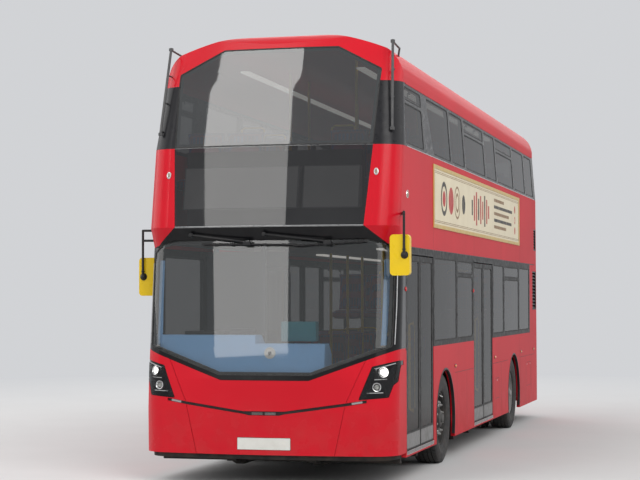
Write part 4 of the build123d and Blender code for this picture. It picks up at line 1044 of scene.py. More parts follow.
@dataclass
class PhotoCamera:
    """Camera at the photograph's place, heading and focal length."""

    place: Point = (4.6121, -20.934, 1.7676)
    yaw: float = -0.2530
    pitch: float = 0.0341
    roll: float = -0.0015
    focal_px: float = 1722.66
    image_width: float = 640.0
    sensor: float = 36.0

    def build(self) -> None:
        """Make the camera the scene's own."""
        data = bpy.data.cameras.new("photo_camera")
        data.sensor_width = self.sensor
        data.sensor_fit = "HORIZONTAL"
        data.lens = self.focal_px / self.image_width * self.sensor
        data.clip_end = 300.0
        obj = link("photo_camera", data)
        level = math.cos(self.pitch)
        ahead = Vector((math.sin(self.yaw) * level, math.cos(self.yaw) * level, math.sin(self.pitch)))
        right = Vector((math.cos(self.yaw), -math.sin(self.yaw), 0.0))
        up = right.cross(ahead)
        c, s = math.cos(self.roll), math.sin(self.roll)
        right, up = right * c + up * s, up * c - right * s
        turn = Matrix((right, up, -ahead)).transposed().to_4x4()
        obj.matrix_world = Matrix.Translation(self.place) @ turn
        bpy.context.scene.camera = obj


# Wheels


@dataclass
class TreadedTyre:
    """Radial tyre with ribbed walls, shoulder blocks and four grooves round it.

    The wall's rows are shares of half its width with heights over the bead, the shoulder's with depths
    under the tread.
    """

    r: float = SIZES.tyre_r
    half: float = SIZES.tyre_w / 2
    blocks: int = 60
    groove_w: float = 0.013
    groove_deep: float = 0.014
    rib_x: tuple[float, ...] = (-0.072, -0.025, 0.025, 0.072)
    shares: tuple[float, ...] = (0.0, 0.10, 0.14, 0.55, 0.58, 0.62, 0.65, 0.96)
    wall: tuple[Flat, ...] = (
        (0.72, 0.001),
        (0.80, 0.004),
        (0.86, 0.012),
        (0.885, 0.022),
        (0.875, 0.026),
        (0.935, 0.045),
        (0.97, 0.07),
        (0.985, 0.078),
        (0.998, 0.095),
        (0.998, 0.11),
        (0.985, 0.114),
        (0.985, 0.128),
        (0.975, 0.134),
    )
    shoulder: tuple[Flat, ...] = ((0.965, 0.042), (0.955, 0.034), (0.945, 0.034), (0.90, 0.014))

    def tread(self) -> list[Flat]:
        """Tread from the outer to the inner shoulder with its grooves, as (along, radius).

        Returns:
            The profile.
        """
        edge = [(self.half * 0.86, self.r - 0.006), (self.half * 0.74, self.r - 0.002)]
        out = list(edge)
        for x in reversed(self.rib_x):
            w, d = self.groove_w / 2, self.groove_deep
            out += [(x + w, self.r), (x + w * 0.6, self.r - d), (x - w * 0.6, self.r - d), (x - w, self.r)]
        return out + [(-x, r) for x, r in reversed(edge)]

    def add(self, build: Build, centre: Point) -> None:
        """Add the tyre to a build.

        Args:
            build: Build to add to.
            centre: Middle of the wheel.
        """
        wall = [(self.half * x, SIZES.rim_r + r) for x, r in self.wall]
        wall += [(self.half * x, self.r - r) for x, r in self.shoulder]
        tread = self.tread()
        profile = wall + tread + [(-x, r) for x, r in reversed(wall)]
        first, last = len(wall), len(wall) + len(tread)
        ribs = self.rib_x[-1] + self.groove_w
        rows = [(block, i) for block in range(self.blocks) for i in range(len(self.shares))]
        verts: list[Point] = []
        for block, index in rows:
            a = 2 * math.pi * (block + self.shares[index]) / self.blocks
            for i, (along, r) in enumerate(profile):
                if first - 2 <= i < last + 2 and abs(along) > ribs and index < 2:
                    r -= self.groove_deep * 0.8
                elif first <= i < last and abs(along) <= ribs and index in (4, 5) and r > self.r - 0.004:
                    r -= 0.004
                verts.append((centre[0] + along, centre[1] + r * math.cos(a), centre[2] + r * math.sin(a)))
        build.add(verts, loft(len(rows), len(profile), True))


@dataclass
class Wheel:
    """Tyres, wheel nuts, hub, hand holes and valve of one wheel position."""

    side: int
    front: bool
    nut_circle: float = 0.1675
    nut_count: int = 10
    hole_circle: float = 0.226
    hole_count: int = 8
    nut: tuple[tuple[int, tuple[Flat, ...]], ...] = (
        (20, ((0, 0), (0, 0.023), (0.005, 0.022), (0.005, 0))),
        (6, ((0.004, 0), (0.004, 0.0175), (0.023, 0.0175), (0.026, 0.014), (0.026, 0))),
        (12, ((0, 0), (0, 0.0105), (0.038, 0.0105), (0.040, 0.008), (0.040, 0))),
    )
    cap: tuple[Flat, ...] = ((0.006, 1.0), (0.009, 0.94), (0.011, 0.62), (0.030, 0.56), (0.034, 0.48), (0.034, 0))
    valve: tuple[tuple[float, tuple[Flat, ...]], ...] = (
        (0.0045, ((0.0, 0.0), (0.035, 0.004), (0.06, 0.02))),
        (0.0065, ((0.055, 0.0165), (0.072, 0.0275))),
    )

    def ring(
        self, build: Build, profile: Sequence[Flat], out: float, steps: int, count: int = 1, r: float = 0.0,
        turned: float = 0.0,
    ) -> None:
        """Turn a profile at even places round the axle.

        Args:
            build: Build to add to.
            profile: Points as (outwards, radius).
            out: How far out of the tyre's middle its origin lies.
            steps: Steps round each.
            count: How many there are.
            r: Radius of their circle.
            turned: Share of a pitch that they are turned by.
        """
        y = SIZES.y(SIZES.front_axle if self.front else SIZES.rear_axle)
        for k in range(count):
            a = 2 * math.pi * (k + turned) / count
            at = (self.side * (SIZES.outer_x + out), y + r * math.cos(a), SIZES.tyre_r + r * math.sin(a))
            build.turn([(self.side * along, radius) for along, radius in profile], at, steps=steps)

    def build(self) -> None:
        """Make and dress the wheel."""
        axle, plural = ("front", "") if self.front else ("rear", "s")
        disc, end, cap_r, lean = (0.0705, 0.106, 0.082, -0.0035) if self.front else (-0.087, 0.092, 0.068, 0.007)
        hand = WHERE[self.side] + "side"
        body = Body(f"wheel_{axle}_{hand}")
        y, z = SIZES.y(SIZES.front_axle if self.front else SIZES.rear_axle), SIZES.tyre_r
        rubber, metal, hub, dark, valve = (Build() for _ in range(5))
        for x in (SIZES.outer_x,) if self.front else (SIZES.outer_x, SIZES.inner_x):
            TreadedTyre().add(rubber, (self.side * x, y, z))
        obj = rubber.polish(f"{axle}_treaded_tyre{plural}_{hand}", Finish.TYRE, body)
        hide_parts(f"{axle}_tyre{plural}_{hand}")
        for steps, profile in self.nut:
            self.ring(metal, profile, disc, steps, self.nut_count, self.nut_circle, 0.5)
        metal.polish(body.value + "_nuts", Finish.STEEL, body)
        flat = min(1.0, (SIZES.half - 0.004 - SIZES.outer_x - end) / 0.036)
        cap = [(0, 0), (0, cap_r), *((along * flat, share * cap_r) for along, share in self.cap)]
        self.ring(hub, cap, end, 48)
        bolt = [(0, 0), (0, 0.0075), (0.006 * flat, 0.0075), (0.007 * flat, 0.005), (0.007 * flat, 0)]
        self.ring(hub, bolt, end + 0.006 * flat, 6, self.nut_count, cap_r * 0.80)
        lip = [(-0.004, 0.0165), (0.004, 0.0175), (0.004, 0.0205), (-0.006, 0.0235)]
        self.ring(hub, lip, disc + lean, 24, self.hole_count, self.hole_circle)
        hub.polish(body.value + "_hub", Finish.CAST if self.front else Finish.WHEEL_GREY, body)
        hole = [(-0.004, 0), (-0.004, 0.0175), (0.0015, 0.0175), (0.0015, 0)]
        self.ring(dark, hole, disc + lean, 24, self.hole_count, self.hole_circle)
        dark.finish(body.value + "_hand_holes", Finish.UNDERSIDE, body)
        start = SIZES.outer_x + disc - 0.01
        for r, path in self.valve:
            valve.tube([(self.side * (start + out), y, z + 0.255 - drop) for out, drop in path], r, 8)
        valve.polish(body.value + "_valve", Finish.STEEL, body)
        dress(NODES[f"{axle}_rim{plural}_{hand}"], Finish.WHEEL_DARK if self.front else Finish.WHEEL_GREY)
        log.info("wheel %s %s", axle, hand)


# Nose


@dataclass
class Headlamps:
    """Lens cover, reflector bowls, bulbs and bright trims of both lamp clusters."""

    outline: tuple[Flat, ...] = (
        (0.908, 0.818), (1.178, 0.841), (1.213, 0.955), (1.245, 0.988), (1.260, 1.182), (1.032, 1.128),
    )
    main: Point = (1.136, 1.077, 0.048)
    low: Point = (1.078, 0.938, 0.036)
    depth: float = 0.026
    bowl_rings: tuple[Flat, ...] = (
        (0.001, 0.60), (0.004, 0.66), (0.010, 0.78), (0.017, 0.90), (0.0235, 1.0),
        (0.0235, 0.955), (0.017, 0.86), (0.010, 0.74), (0.006, 0.62),
    )

    def bowl(self, lamp: Point, side: int, main: bool) -> None:
        """Add a stepped reflector bowl, a lens and a rim inside one round opening.

        Args:
            lamp: Its x, z and radius.
            side: 1 nearside, -1 offside.
            main: Whether it is the larger lamp, which is lit.
        """
        x, z, r = lamp
        tag = ("main" if main else "low") + "_lamp_" + WHERE[side]
        rings = [(along, r * share) for along, share in self.bowl_rings]
        NOSE.stud(side * x, z, rings, 48, self.depth).polish(tag + "_bowl", Finish.REFLECTOR)
        lens = NOSE.stud(side * x, z, dome(0.013, r * 0.66, 0.013, 0.010, r * 0.66, 6, 1), 40, self.depth)
        lens.polish(tag + "_lens", Finish.HEADLAMP if main else Finish.CLEAR_LENS)
        rim = [(0.0225, r), (0.0265, r + 0.001), (0.0275, r + 0.004), (0.0225, r + 0.0065)]
        rim = NOSE.stud(side * x, z, rim, 48, self.depth)
        rim.polish(tag + "_rim", Finish.SATIN_BLACK if main else Finish.REFLECTOR)

    def cluster(self, side: int) -> None:
        """Build one cluster's cover and trims.

        Args:
            side: 1 nearside, -1 offside.
        """
        where = WHERE[side]
        outline = rounded([(side * x, z) for x, z in self.outline], 0.010, 4)
        verts, faces = NOSE.patch(outline, 0.0005, 8)
        back, _ = NOSE.patch(outline, -0.0022, 8)
        n, count = len(verts), len(outline)
        faces = faces + [[i + n for i in reversed(f)] for f in faces]
        faces += [[i, i + n, (i + 1) % count + n, (i + 1) % count] for i in range(count)]
        Build().add(verts + back, faces).polish("lamp_cover_" + where, Finish.LAMP_COVER)
        top = [(side * (1.060 + 0.028 * k), 1.108 + 0.050 * k / 6) for k in range(7)]
        NOSE.strip(top, 0.008, 0.0022, 0.003, 0.02).finish("lamp_top_trim_" + where, Finish.CREASE_LENS)
        edge = [(side * 1.240, 1.150), (side * 1.228, 1.010)]
        NOSE.strip(edge, 0.008, 0.0022, 0.003, 0.02).finish("lamp_edge_trim_" + where, Finish.CHARCOAL)
        for k, (x0, x1, z) in enumerate(((1.055, 1.165, 1.008), (0.985, 1.135, 0.882))):
            line = NOSE.strip([(side * x0, z), (side * x1, z + 0.004)], 0.006, -0.0025, 0.003)
            line.finish(f"lamp_line_{k}_" + where, Finish.ALUMINIUM)

    def build(self) -> None:
        """Build both clusters."""
        for side in SIDES:
            self.cluster(side)
            self.bowl(self.main, side, True)
            self.bowl(self.low, side, False)
        dress(NODES["headlamp_units"], Finish.BLACK)
        log.info("headlamps: two clusters")


@dataclass
class FrontGlass:
    """The three smooth curved panes of the nose, which stand for their faceted solids."""

    spacing: float = 0.07
    columns: int = 56
    screen_depths: Flat = (0.005, 0.013)
    destination_depths: Flat = (0.002, 0.020)
    lower: tuple[Flat, ...] = (
        (0.455, 1.0404), (1.2046, 1.3124), (1.2136, 2.120), (1.1956, 2.225), (1.110, 2.2996), (0.960, 2.3376),
    )
    destination: tuple[Flat, ...] = ((0.9416, 2.4634), (0.9996, 3.2426))
    upper: tuple[Flat, ...] = ((0.9996, 3.2494), (1.0316, 4.0046), (0.585, 4.2446))

    def half_at(self, outline: Sequence[Flat], z: float) -> float:
        """Half width of a symmetric outline at a height.

        Args:
            outline: Outline, as (x, z).
            z: Height.

        Returns:
            Half the width there.
        """
        reach = [abs(x) for x, level in outline if abs(level - z) < 1e-6]
        for (x0, z0), (x1, z1) in zip(outline, [*outline[1:], outline[0]]):
            if (z0 - z) * (z1 - z) < 0:
                reach.append(abs(x0 + (x1 - x0) * (z - z0) / (z1 - z0)))
        return max(reach)

    def pane(
        self, name: str, node: str, half: Sequence[Flat], radius: float, skin: Nose, depths: Flat, finish: Finish
    ) -> None:
        """Build one pane as a closed shell of even quads.

        Args:
            name: Piece name.
            node: Node it replaces.
            half: Corners of the nearside half as (x, z), from the foot up.
            radius: Corner radius, or 0.
            skin: Skin that it follows.
            depths: How deep its two faces lie under the skin.
            finish: Its finish.
        """
        outline = [*half, *[(-x, z) for x, z in reversed(half)]]
        outline = [(x, round(z, 5)) for x, z in (rounded(outline, radius, 6) if radius else outline)]
        marks = sorted({z for _, z in outline})
        levels: list[float] = []
        for a, b in zip(marks, marks[1:]):
            count = max(1, math.ceil((b - a) / self.spacing))
            levels += [a + (b - a) * k / count for k in range(count)]
        rows = [(z, self.half_at(outline, z)) for z in [*levels, marks[-1]]]
        across = [2 * k / self.columns - 1 for k in range(self.columns + 1)]
        verts = [tuple(skin.point(half * share, z, -depth)) for depth in depths for z, half in rows for share in across]
        obj = glaze(Build().add(verts, shell(len(rows), len(across))).polish(name, finish), finish)
        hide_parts(node)

    def build(self) -> None:
        """Build the three panes."""
        for name, node, half, radius, skin, depths, finish in (
            ("lower_screen_glass", "lower_windscreen", self.lower, 0.030, SCREEN_SKIN, self.screen_depths,
             Finish.WINDSCREEN),
            ("upper_screen_glass", "upper_windscreen", self.upper, 0.025, NOSE, self.screen_depths,
             Finish.UPPER_SCREEN),
            ("destination_pane", "destination_glass", self.destination, 0.0, NOSE, self.destination_depths,
             Finish.DARK_GLASS),
        ):
            self.pane(name, node, half, radius, skin, depths, finish)
        log.info("nose glass: three smooth panes")


def winding(points: Sequence[Sequence[float]]) -> float:
    """1 for a closed outline that runs anticlockwise, else -1."""
    area = sum(a[0] * b[1] - b[0] * a[1] for a, b in zip(points, [*points[1:], points[0]]))
    return 1.0 if area > 0 else -1.0


@dataclass
class NoseTrim:
    """Plate, strips, joint lines, marker lamps and the screen's edge trims."""

    plate: Point = (0.52, 0.111, 0.396)
    plate_station: float = 0.017
    notch_slits: int = 4
    marker: Flat = (1.040, 2.977)
    screen: tuple[Flat, ...] = (
        (0.455, 1.040), (1.205, 1.312), (1.214, 2.120), (1.196, 2.225), (1.110, 2.300), (0.960, 2.338),
    )
    upper_screen: tuple[Flat, ...] = ((1.000, 3.249), (1.032, 4.005), (0.585, 4.245))

    def number_plate(self) -> None:
        """Blank white plate with a black backing in the bumper's pocket."""
        w, h, z = self.plate
        y = SIZES.y(self.plate_station)
        for name, grow, radius, depth, finish in (
            ("front_plate", 0.0, 0.006, -0.004, Finish.PLATE_WHITE),
            ("front_plate_backing", 0.006, 0.008, 0.008, Finish.SATIN_BLACK),
        ):
            outline = [(x, y, v) for x, v in rounded(box(0, z, w + grow, h + grow), radius, 4)]
            Build().slab(outline, (0, depth, 0)).finish(name, finish)
        screws = Build()
        for x in (-0.19, 0.19):
            screws.turn([(-0.0065, TIP), (-0.006, 0.004), (-0.0035, 0.0055), (-0.003, TIP)], (x, y, z), "Y", 16)
        screws.polish("front_plate_screws", Finish.PLATE_WHITE)

    def notch(self) -> None:
        """Slotted insert in the notch over the plate, and the bright ends of the crease strip."""
        insert = Build()
        for x0, x1 in ((-0.118, -0.012), (0.012, 0.118)):
            for k in range(self.notch_slits):
                z = 0.6705 + 0.0065 * k
                at = NOSE.point((x0 + x1) / 2, z, -0.0135)
                insert.block((x0, at.y - 0.0015, z), (x1, at.y + 0.004, z + 0.0028), 0.0008)
        insert.finish("notch_slats", Finish.WHEEL_GREY)
        for side in SIDES:
            light = NOSE.strip([(side * 0.845, 0.7815), (side * 0.945, 0.7985)], 0.019, -0.011, 0.003)
            light.finish("crease_light_" + WHERE[side], Finish.CREASE_LENS)

    def screen_trims(self) -> None:
        """Silver strips painted as the highlight along the glass's side edges, dashed bond line and rubber round the
        two windscreens.
        """
        foot, head, count = Vector((0.470, 1.082)), Vector((1.160, 1.332)), 9
        for side in SIDES:
            where = WHERE[side]
            # Painted highlight: the silver strip stands for the light caught along the glass edge.
            edge = [(side * 1.2185, 1.335), (side * 1.2265, 1.70), (side * 1.2275, 2.12)]
            NOSE.strip(edge, 0.006, 0.0015, 0.003).finish("screen_edge_" + where, Finish.ALUMINIUM)
            pillar = [(side * 1.150, 1.33), (side * 1.165, 1.75), (side * 1.170, 2.15)]
            NOSE.strip(pillar, 0.055, -0.050, 0.022).polish("screen_pillar_trim_" + where, Finish.CAB_BLUE)
            dashes = Build()
            for k in range(count):
                ends = [foot.lerp(head, (k + share) / count) for share in (0.12, 0.88)]
                dashes.join(NOSE.strip([(side * p.x, p.y) for p in ends], 0.004, -0.0142, 0.001))
            dashes.finish("screen_bond_dashes_" + where, Finish.WHEEL_GREY)
        for name, half, radius, skin, seal, frit in (
            ("lower_screen", self.screen, 0.030, SCREEN_SKIN, 0.009, 0.034),
            ("upper_screen", self.upper_screen, 0.025, NOSE, 0.010, 0.040),
        ):
            loop = rounded([*half, *((-x, z) for x, z in reversed(half))], radius, 5)
            self.gasket(name + "_seal", loop, seal, -0.0015, 0.003, skin)
            self.gasket(name + "_frit", loop, frit, -0.0134, 0.0012, skin)

    def gasket(self, name: str, loop: list[Flat], width: float, proud: float, thick: float, skin: Nose) -> None:
        """Flat rubber seal that follows a closed front-view loop on the skin.

        Args:
            name: Piece name.
            loop: Corners of its outer edge as (x, z).
            width: Its width.
            proud: Height of its face over the skin.
            thick: Its thickness.
            skin: Skin it lies on.
        """
        outer = evenly([*loop, loop[0]], 0.05)
        n, turn = len(outer), winding(outer)
        inner = []
        for i, p in enumerate(outer):
            ahead = (outer[(i + 1) % n] - outer[i - 1]).normalized()
            inner.append(p + Vector((-ahead.y, ahead.x)) * turn * width)
        rings = ((outer, proud), (inner, proud), (inner, proud - thick), (outer, proud - thick))
        verts = [tuple(skin.point(p.x, p.y, height)) for ring, height in rings for p in ring]
        Build().add(verts, loft(4, n, True)).finish(name, Finish.SEAL)

    def brow(self) -> None:
        """Silver line under the destination glass, a painted highlight on the brow's lip, grey line over it and the
        marker lamps.
        """
        # Painted highlight: the silver line stands for the light caught by the lip of the brow.
        NOSE.strip([(-0.94, 2.462), (0.94, 2.462)], 0.012, 0.001, 0.003).finish("brow_silver_line", Finish.ALUMINIUM)
        NOSE.strip([(-1.0, 3.2455), (1.0, 3.2455)], 0.008, -0.001, 0.004).finish("deck_grey_line", Finish.ALUMINIUM)
        bezel = [(-0.002, 0.012), (0.005, 0.013), (0.008, 0.017), (0.006, 0.022), (-0.002, 0.024)]
        lens = dome(0.0, 0.013, 0.0, 0.009, 0.013, 5, 1)
        x, z = self.marker
        for side in SIDES:
            for name, profile, steps, finish in (
                ("marker_bezel_", bezel, 32, Finish.STEEL),
                ("marker_lens_", lens, 28, Finish.SIDELAMP),
            ):
                NOSE.stud(side * x, z, profile, steps, tall=1.55).polish(name + WHERE[side], finish)

    def displays(self) -> None:
        """Two blank display cases behind the destination glass, each with a thin frame."""
        z0, z1, deep, back = 2.640, 3.045, -0.0195, SIZES.y(0.351)
        for name, x0, x1 in (("route", 0.345, 0.885), ("destination", -0.870, 0.290)):
            count = max(2, round((x1 - x0) / 0.06))
            n = count + 1
            xs = [x0 + (x1 - x0) * k / count for k in range(n)]
            verts = [tuple(NOSE.point(x, z, deep)) for z in (z0, z1) for x in xs]
            verts += [(x, back, z) for z in (z0, z1) for x in (x0, x1)]
            a, b, c, d = range(2 * n, 2 * n + 4)
            faces = [[k, k + 1, n + k + 1, n + k] for k in range(count)]
            faces += [[*range(n), b, a], [*range(n, 2 * n), d, c], [0, n, c, a], [n - 1, 2 * n - 1, d, b], [a, b, d, c]]
            Build().add(verts, faces).finish("display_" + name, Finish.DISPLAY)
            edges = Build()
            runs = [[(x0 - 0.006, z), (x1 + 0.006, z)] for z in (z0, z1)] + [[(x, z0), (x, z1)] for x in (x0, x1)]
            for run in runs:
                edges.join(NOSE.strip(run, 0.010, deep + 0.001, 0.004, 0.06))
            edges.finish("display_frame_" + name, Finish.GUARD)

    def joints(self) -> None:
        """Panel screws low on the bumper and the lip at its foot."""
        caps = Build()
        screw = [(-0.001, TIP), (-0.001, 0.006), (0.0006, 0.006), (0.001, 0.004), (0.0004, TIP)]
        for side in SIDES:
            for x, z in ((0.715, 0.55), (0.70, 0.35)):
                caps.join(NOSE.stud(side * x, z, screw, 16))
        caps.polish("bumper_fasteners", Finish.RED)
        lip = NOSE.strip([(-0.66, 0.2935), (0.66, 0.2935)], 0.010, -0.004, 0.030)
        lip.finish("bumper_foot_lip", Finish.SATIN_BLACK)

    def build(self) -> None:
        """Build all trims of the nose and dress its panels."""
        self.number_plate()
        self.notch()
        self.screen_trims()
        self.brow()
        self.displays()
        self.joints()
        for name in ("front_bumper", "front_centre_panel", "front_corner_panels", "brow_panels"):
            dress(NODES[name], Finish.RED)
        dress(NODES["crease_trim"], Finish.SATIN_BLACK)
        dress(NODES["windscreen_surround"], Finish.BLACK)
        log.info("nose: plate, strips, seals and marker lamps")


@dataclass
class Wipers:
    """Rubber, fittings and boss caps on the two parked wipers."""

    rows: tuple[tuple[float, ...], ...] = (
        (-0.770, -0.660, -0.190, 0.280, 2.298, 2.284),
        (-0.020, 0.270, 0.600, 0.950, 2.274, 2.312),
    )
    blade_back: float = 0.137
    arm_back: float = 0.112
    boss_back: float = 0.092
    boss_z: float = 2.385
    section: tuple[Flat, ...] = (
        (0.003, 0.007), (0.003, -0.007), (0.011, -0.004), (0.022, -0.002), (0.022, 0.002), (0.011, 0.004),
    )

    def face(self, x: float, back: float) -> float:
        """Y of the swept nose at x, for a station on the middle line."""
        return SIZES.y(back + NOSE.sweep * (x / 1.01) ** 2)

    def build(self) -> None:
        """Add each blade's rubber, its fittings and the boss cap, and dress the arms."""
        cap = [(-0.016, TIP), (-0.015, 0.016), (-0.009, 0.021), (0.012, 0.022), (0.012, TIP)]
        count = 8
        for k, (foot, start, hold, end, z0, z1) in enumerate(self.rows):
            slope = (z1 - z0) / (end - start)
            ring: list[Point] = []
            for i in range(count + 1):
                x = start - 0.012 + (end - start + 0.024) * i / count
                y, z = self.face(x, self.blade_back), z0 + slope * (x - start)
                ring += [(x, y + dy, z + dz) for dy, dz in self.section]
            Build().add(ring, hull(count + 1, len(self.section))).finish(f"wiper_rubber_{k}", Finish.SEAL)
            fittings = Build()
            y, z = self.face(hold, self.arm_back), z0 + slope * (hold - start)
            fittings.block((hold - 0.045, y - 0.011, z - 0.012), (hold + 0.030, y + 0.028, z + 0.030), 0.006)
            for share in (0.12, 0.32, 0.68, 0.88):
                x = start + (end - start) * share
                at = (x, self.face(x, self.blade_back), z0 + (z1 - z0) * share)
                fittings.lump(at, 0.016, 0.0115, 0.0115, 0.004)
            fittings.turn(cap, (foot, self.face(foot, self.boss_back), self.boss_z), "Y", 28)
            fittings.polish(f"wiper_fittings_{k}", Finish.SATIN_BLACK)
        dress(NODES["wipers"], Finish.SATIN_BLACK)
        log.info("wipers: two")


@dataclass
class Mirrors:
    """Glass, bezels and joint collars of the two mirror heads, and dress of their arms."""

    heads: tuple[tuple[float, ...], ...] = ((1.296, 0.165, 1.985, 2.370), (-1.364, 0.600, 1.800, 2.180))
    width: float = 0.19
    depth: float = 0.08
    arm_out: float = 0.046

    def on_arm(self, face: bpy.types.MeshPolygon) -> bool:
        """Whether a face of the node belongs to an arm, not to a head.

        Args:
            face: Face to look at.

        Returns:
            True for an arm.
        """
        mid = face.center
        x, s, z0, z1 = self.heads[0 if mid.x > 0 else 1]
        inside = abs(mid.x - x) <= self.width / 2 + 0.002 and z0 - 0.002 <= mid.z <= z1 + 0.002
        return not inside or abs(mid.y - SIZES.y(s)) >= self.depth / 2 + 0.001

    def build(self) -> None:
        """Add glass, bezels and collars, and paint heads yellow and arms black."""
        disc = [(-0.0035, TIP), (-0.0035, 0.033), (0.0, 0.037), (0.002, 0.037), (0.002, TIP)]
        sleeve = [(-0.007, 0.0125), (-0.007, 0.017), (0.007, 0.017), (0.007, 0.0125)]
        for (x, s, z0, z1), side in zip(self.heads, SIDES):
            mid, back, front = (z0 + z1) / 2, SIZES.y(s) + self.depth / 2, SIZES.y(s) - self.depth / 2
            rim, hole = (
                [(a, back, b) for a, b in rounded(box(x, mid, self.width - edge, z1 - z0 - edge), radius, 6)]
                for edge, radius in ((0.012, 0.030), (0.032, 0.022))
            )
            Build().band(rim, hole, (0, 0.006, 0)).finish("mirror_bezel_" + WHERE[side], Finish.SATIN_BLACK)
            Build().slab(hole, (0, 0.003, 0)).finish("mirror_glass_" + WHERE[side], Finish.MIRROR_GLASS)
            arm_x = x + side * self.arm_out
            collar = Build().turn(disc, (arm_x, front, mid), "Y", 32)
            collar.turn(sleeve, (arm_x, front - 0.022, mid + 0.052), "Z", 24)
            collar.polish("mirror_collar_" + WHERE[side], Finish.SATIN_BLACK)
        dress(NODES["mirrors"], Finish.YELLOW, Finish.SATIN_BLACK, pick=self.on_arm)
        log.info("mirrors: two")


# Flanks


def inset(points: Sequence[Flat], distance: float) -> list[Flat]:
    """Move every edge of a convex outline inwards by a distance.

    Args:
        points: Its corners.
        distance: How far each edge moves.

    Returns:
        The new corners.
    """
    sign = winding(points)
    lines = []
    for a, b in zip(points, [*points[1:], points[0]]):
        ahead = (Vector(b) - Vector(a)).normalized()
        lines.append((Vector(a) + Vector((-ahead.y, ahead.x)) * sign * distance, ahead))
    out: list[Flat] = []
    for (p, d), (q, e) in zip([lines[-1], *lines], lines):
        t = ((q.x - p.x) * e.y - (q.y - p.y) * e.x) / (d.x * e.y - d.y * e.x)
        out.append((p.x + d.x * t, p.y + d.y * t))
    return out


def flank(station: float, z: float, side: int, proud: float = 0.0) -> Point:
    """Point on a flank's skin, moved out from it."""
    return (side * (flank_x(z) + proud), SIZES.y(station), z)


def laid(outline: Sequence[Flat], side: int, proud: float) -> list[Point]:
    """A side-view outline laid on a flank, raised over its skin."""
    return [flank(s, z, side, proud) for s, z in outline]


def upright(outline: Sequence[Flat], x: float) -> list[Point]:
    """A side-view outline stood up at an x."""
    return [(x, SIZES.y(s), z) for s, z in outline]


def flank_strip(side: int, line: Sequence[Flat], width: float, proud: float, thick: float) -> Build:
    """Flat strip that lies on a flank along a side-view line of (station, z)."""
    return ribbon([Vector(p) for p in line], width, proud, thick, lambda s, z, out: flank(s, z, side, out))


def span(s0: float, s1: float, low: float, high: float) -> list[Flat]:
    """Corners of a side-view box between two stations and two heights."""
    return [(s0, low), (s1, low), (s1, high), (s0, high)]


@dataclass(frozen=True)
class Pane:
    """One side window: stations of its edges, heights, and the height of its top light."""

    foot: float
    head: float
    aft: float
    low: float
    high: float
    top_light: float = 0.0

    def split(self, transom: float) -> list[list[Flat]]:
        """Outlines of the pane and, where there is one, its top light, as (station, z).

        Args:
            transom: Height of the bar under the top light.

        Returns:
            The outlines.
        """
        if not self.top_light:
            return [[(self.foot, self.low), (self.aft, self.low), (self.aft, self.high), (self.head, self.high)]]
        cut = self.high - self.top_light
        fore = self.foot + (self.head - self.foot) * (cut - self.low) / (self.high - self.low)
        return [
            [(self.foot, self.low), (self.aft, self.low), (self.aft, cut - transom), (fore, cut - transom)],
            [(fore, cut), (self.aft, cut), (self.aft, self.high), (self.head, self.high)],
        ]


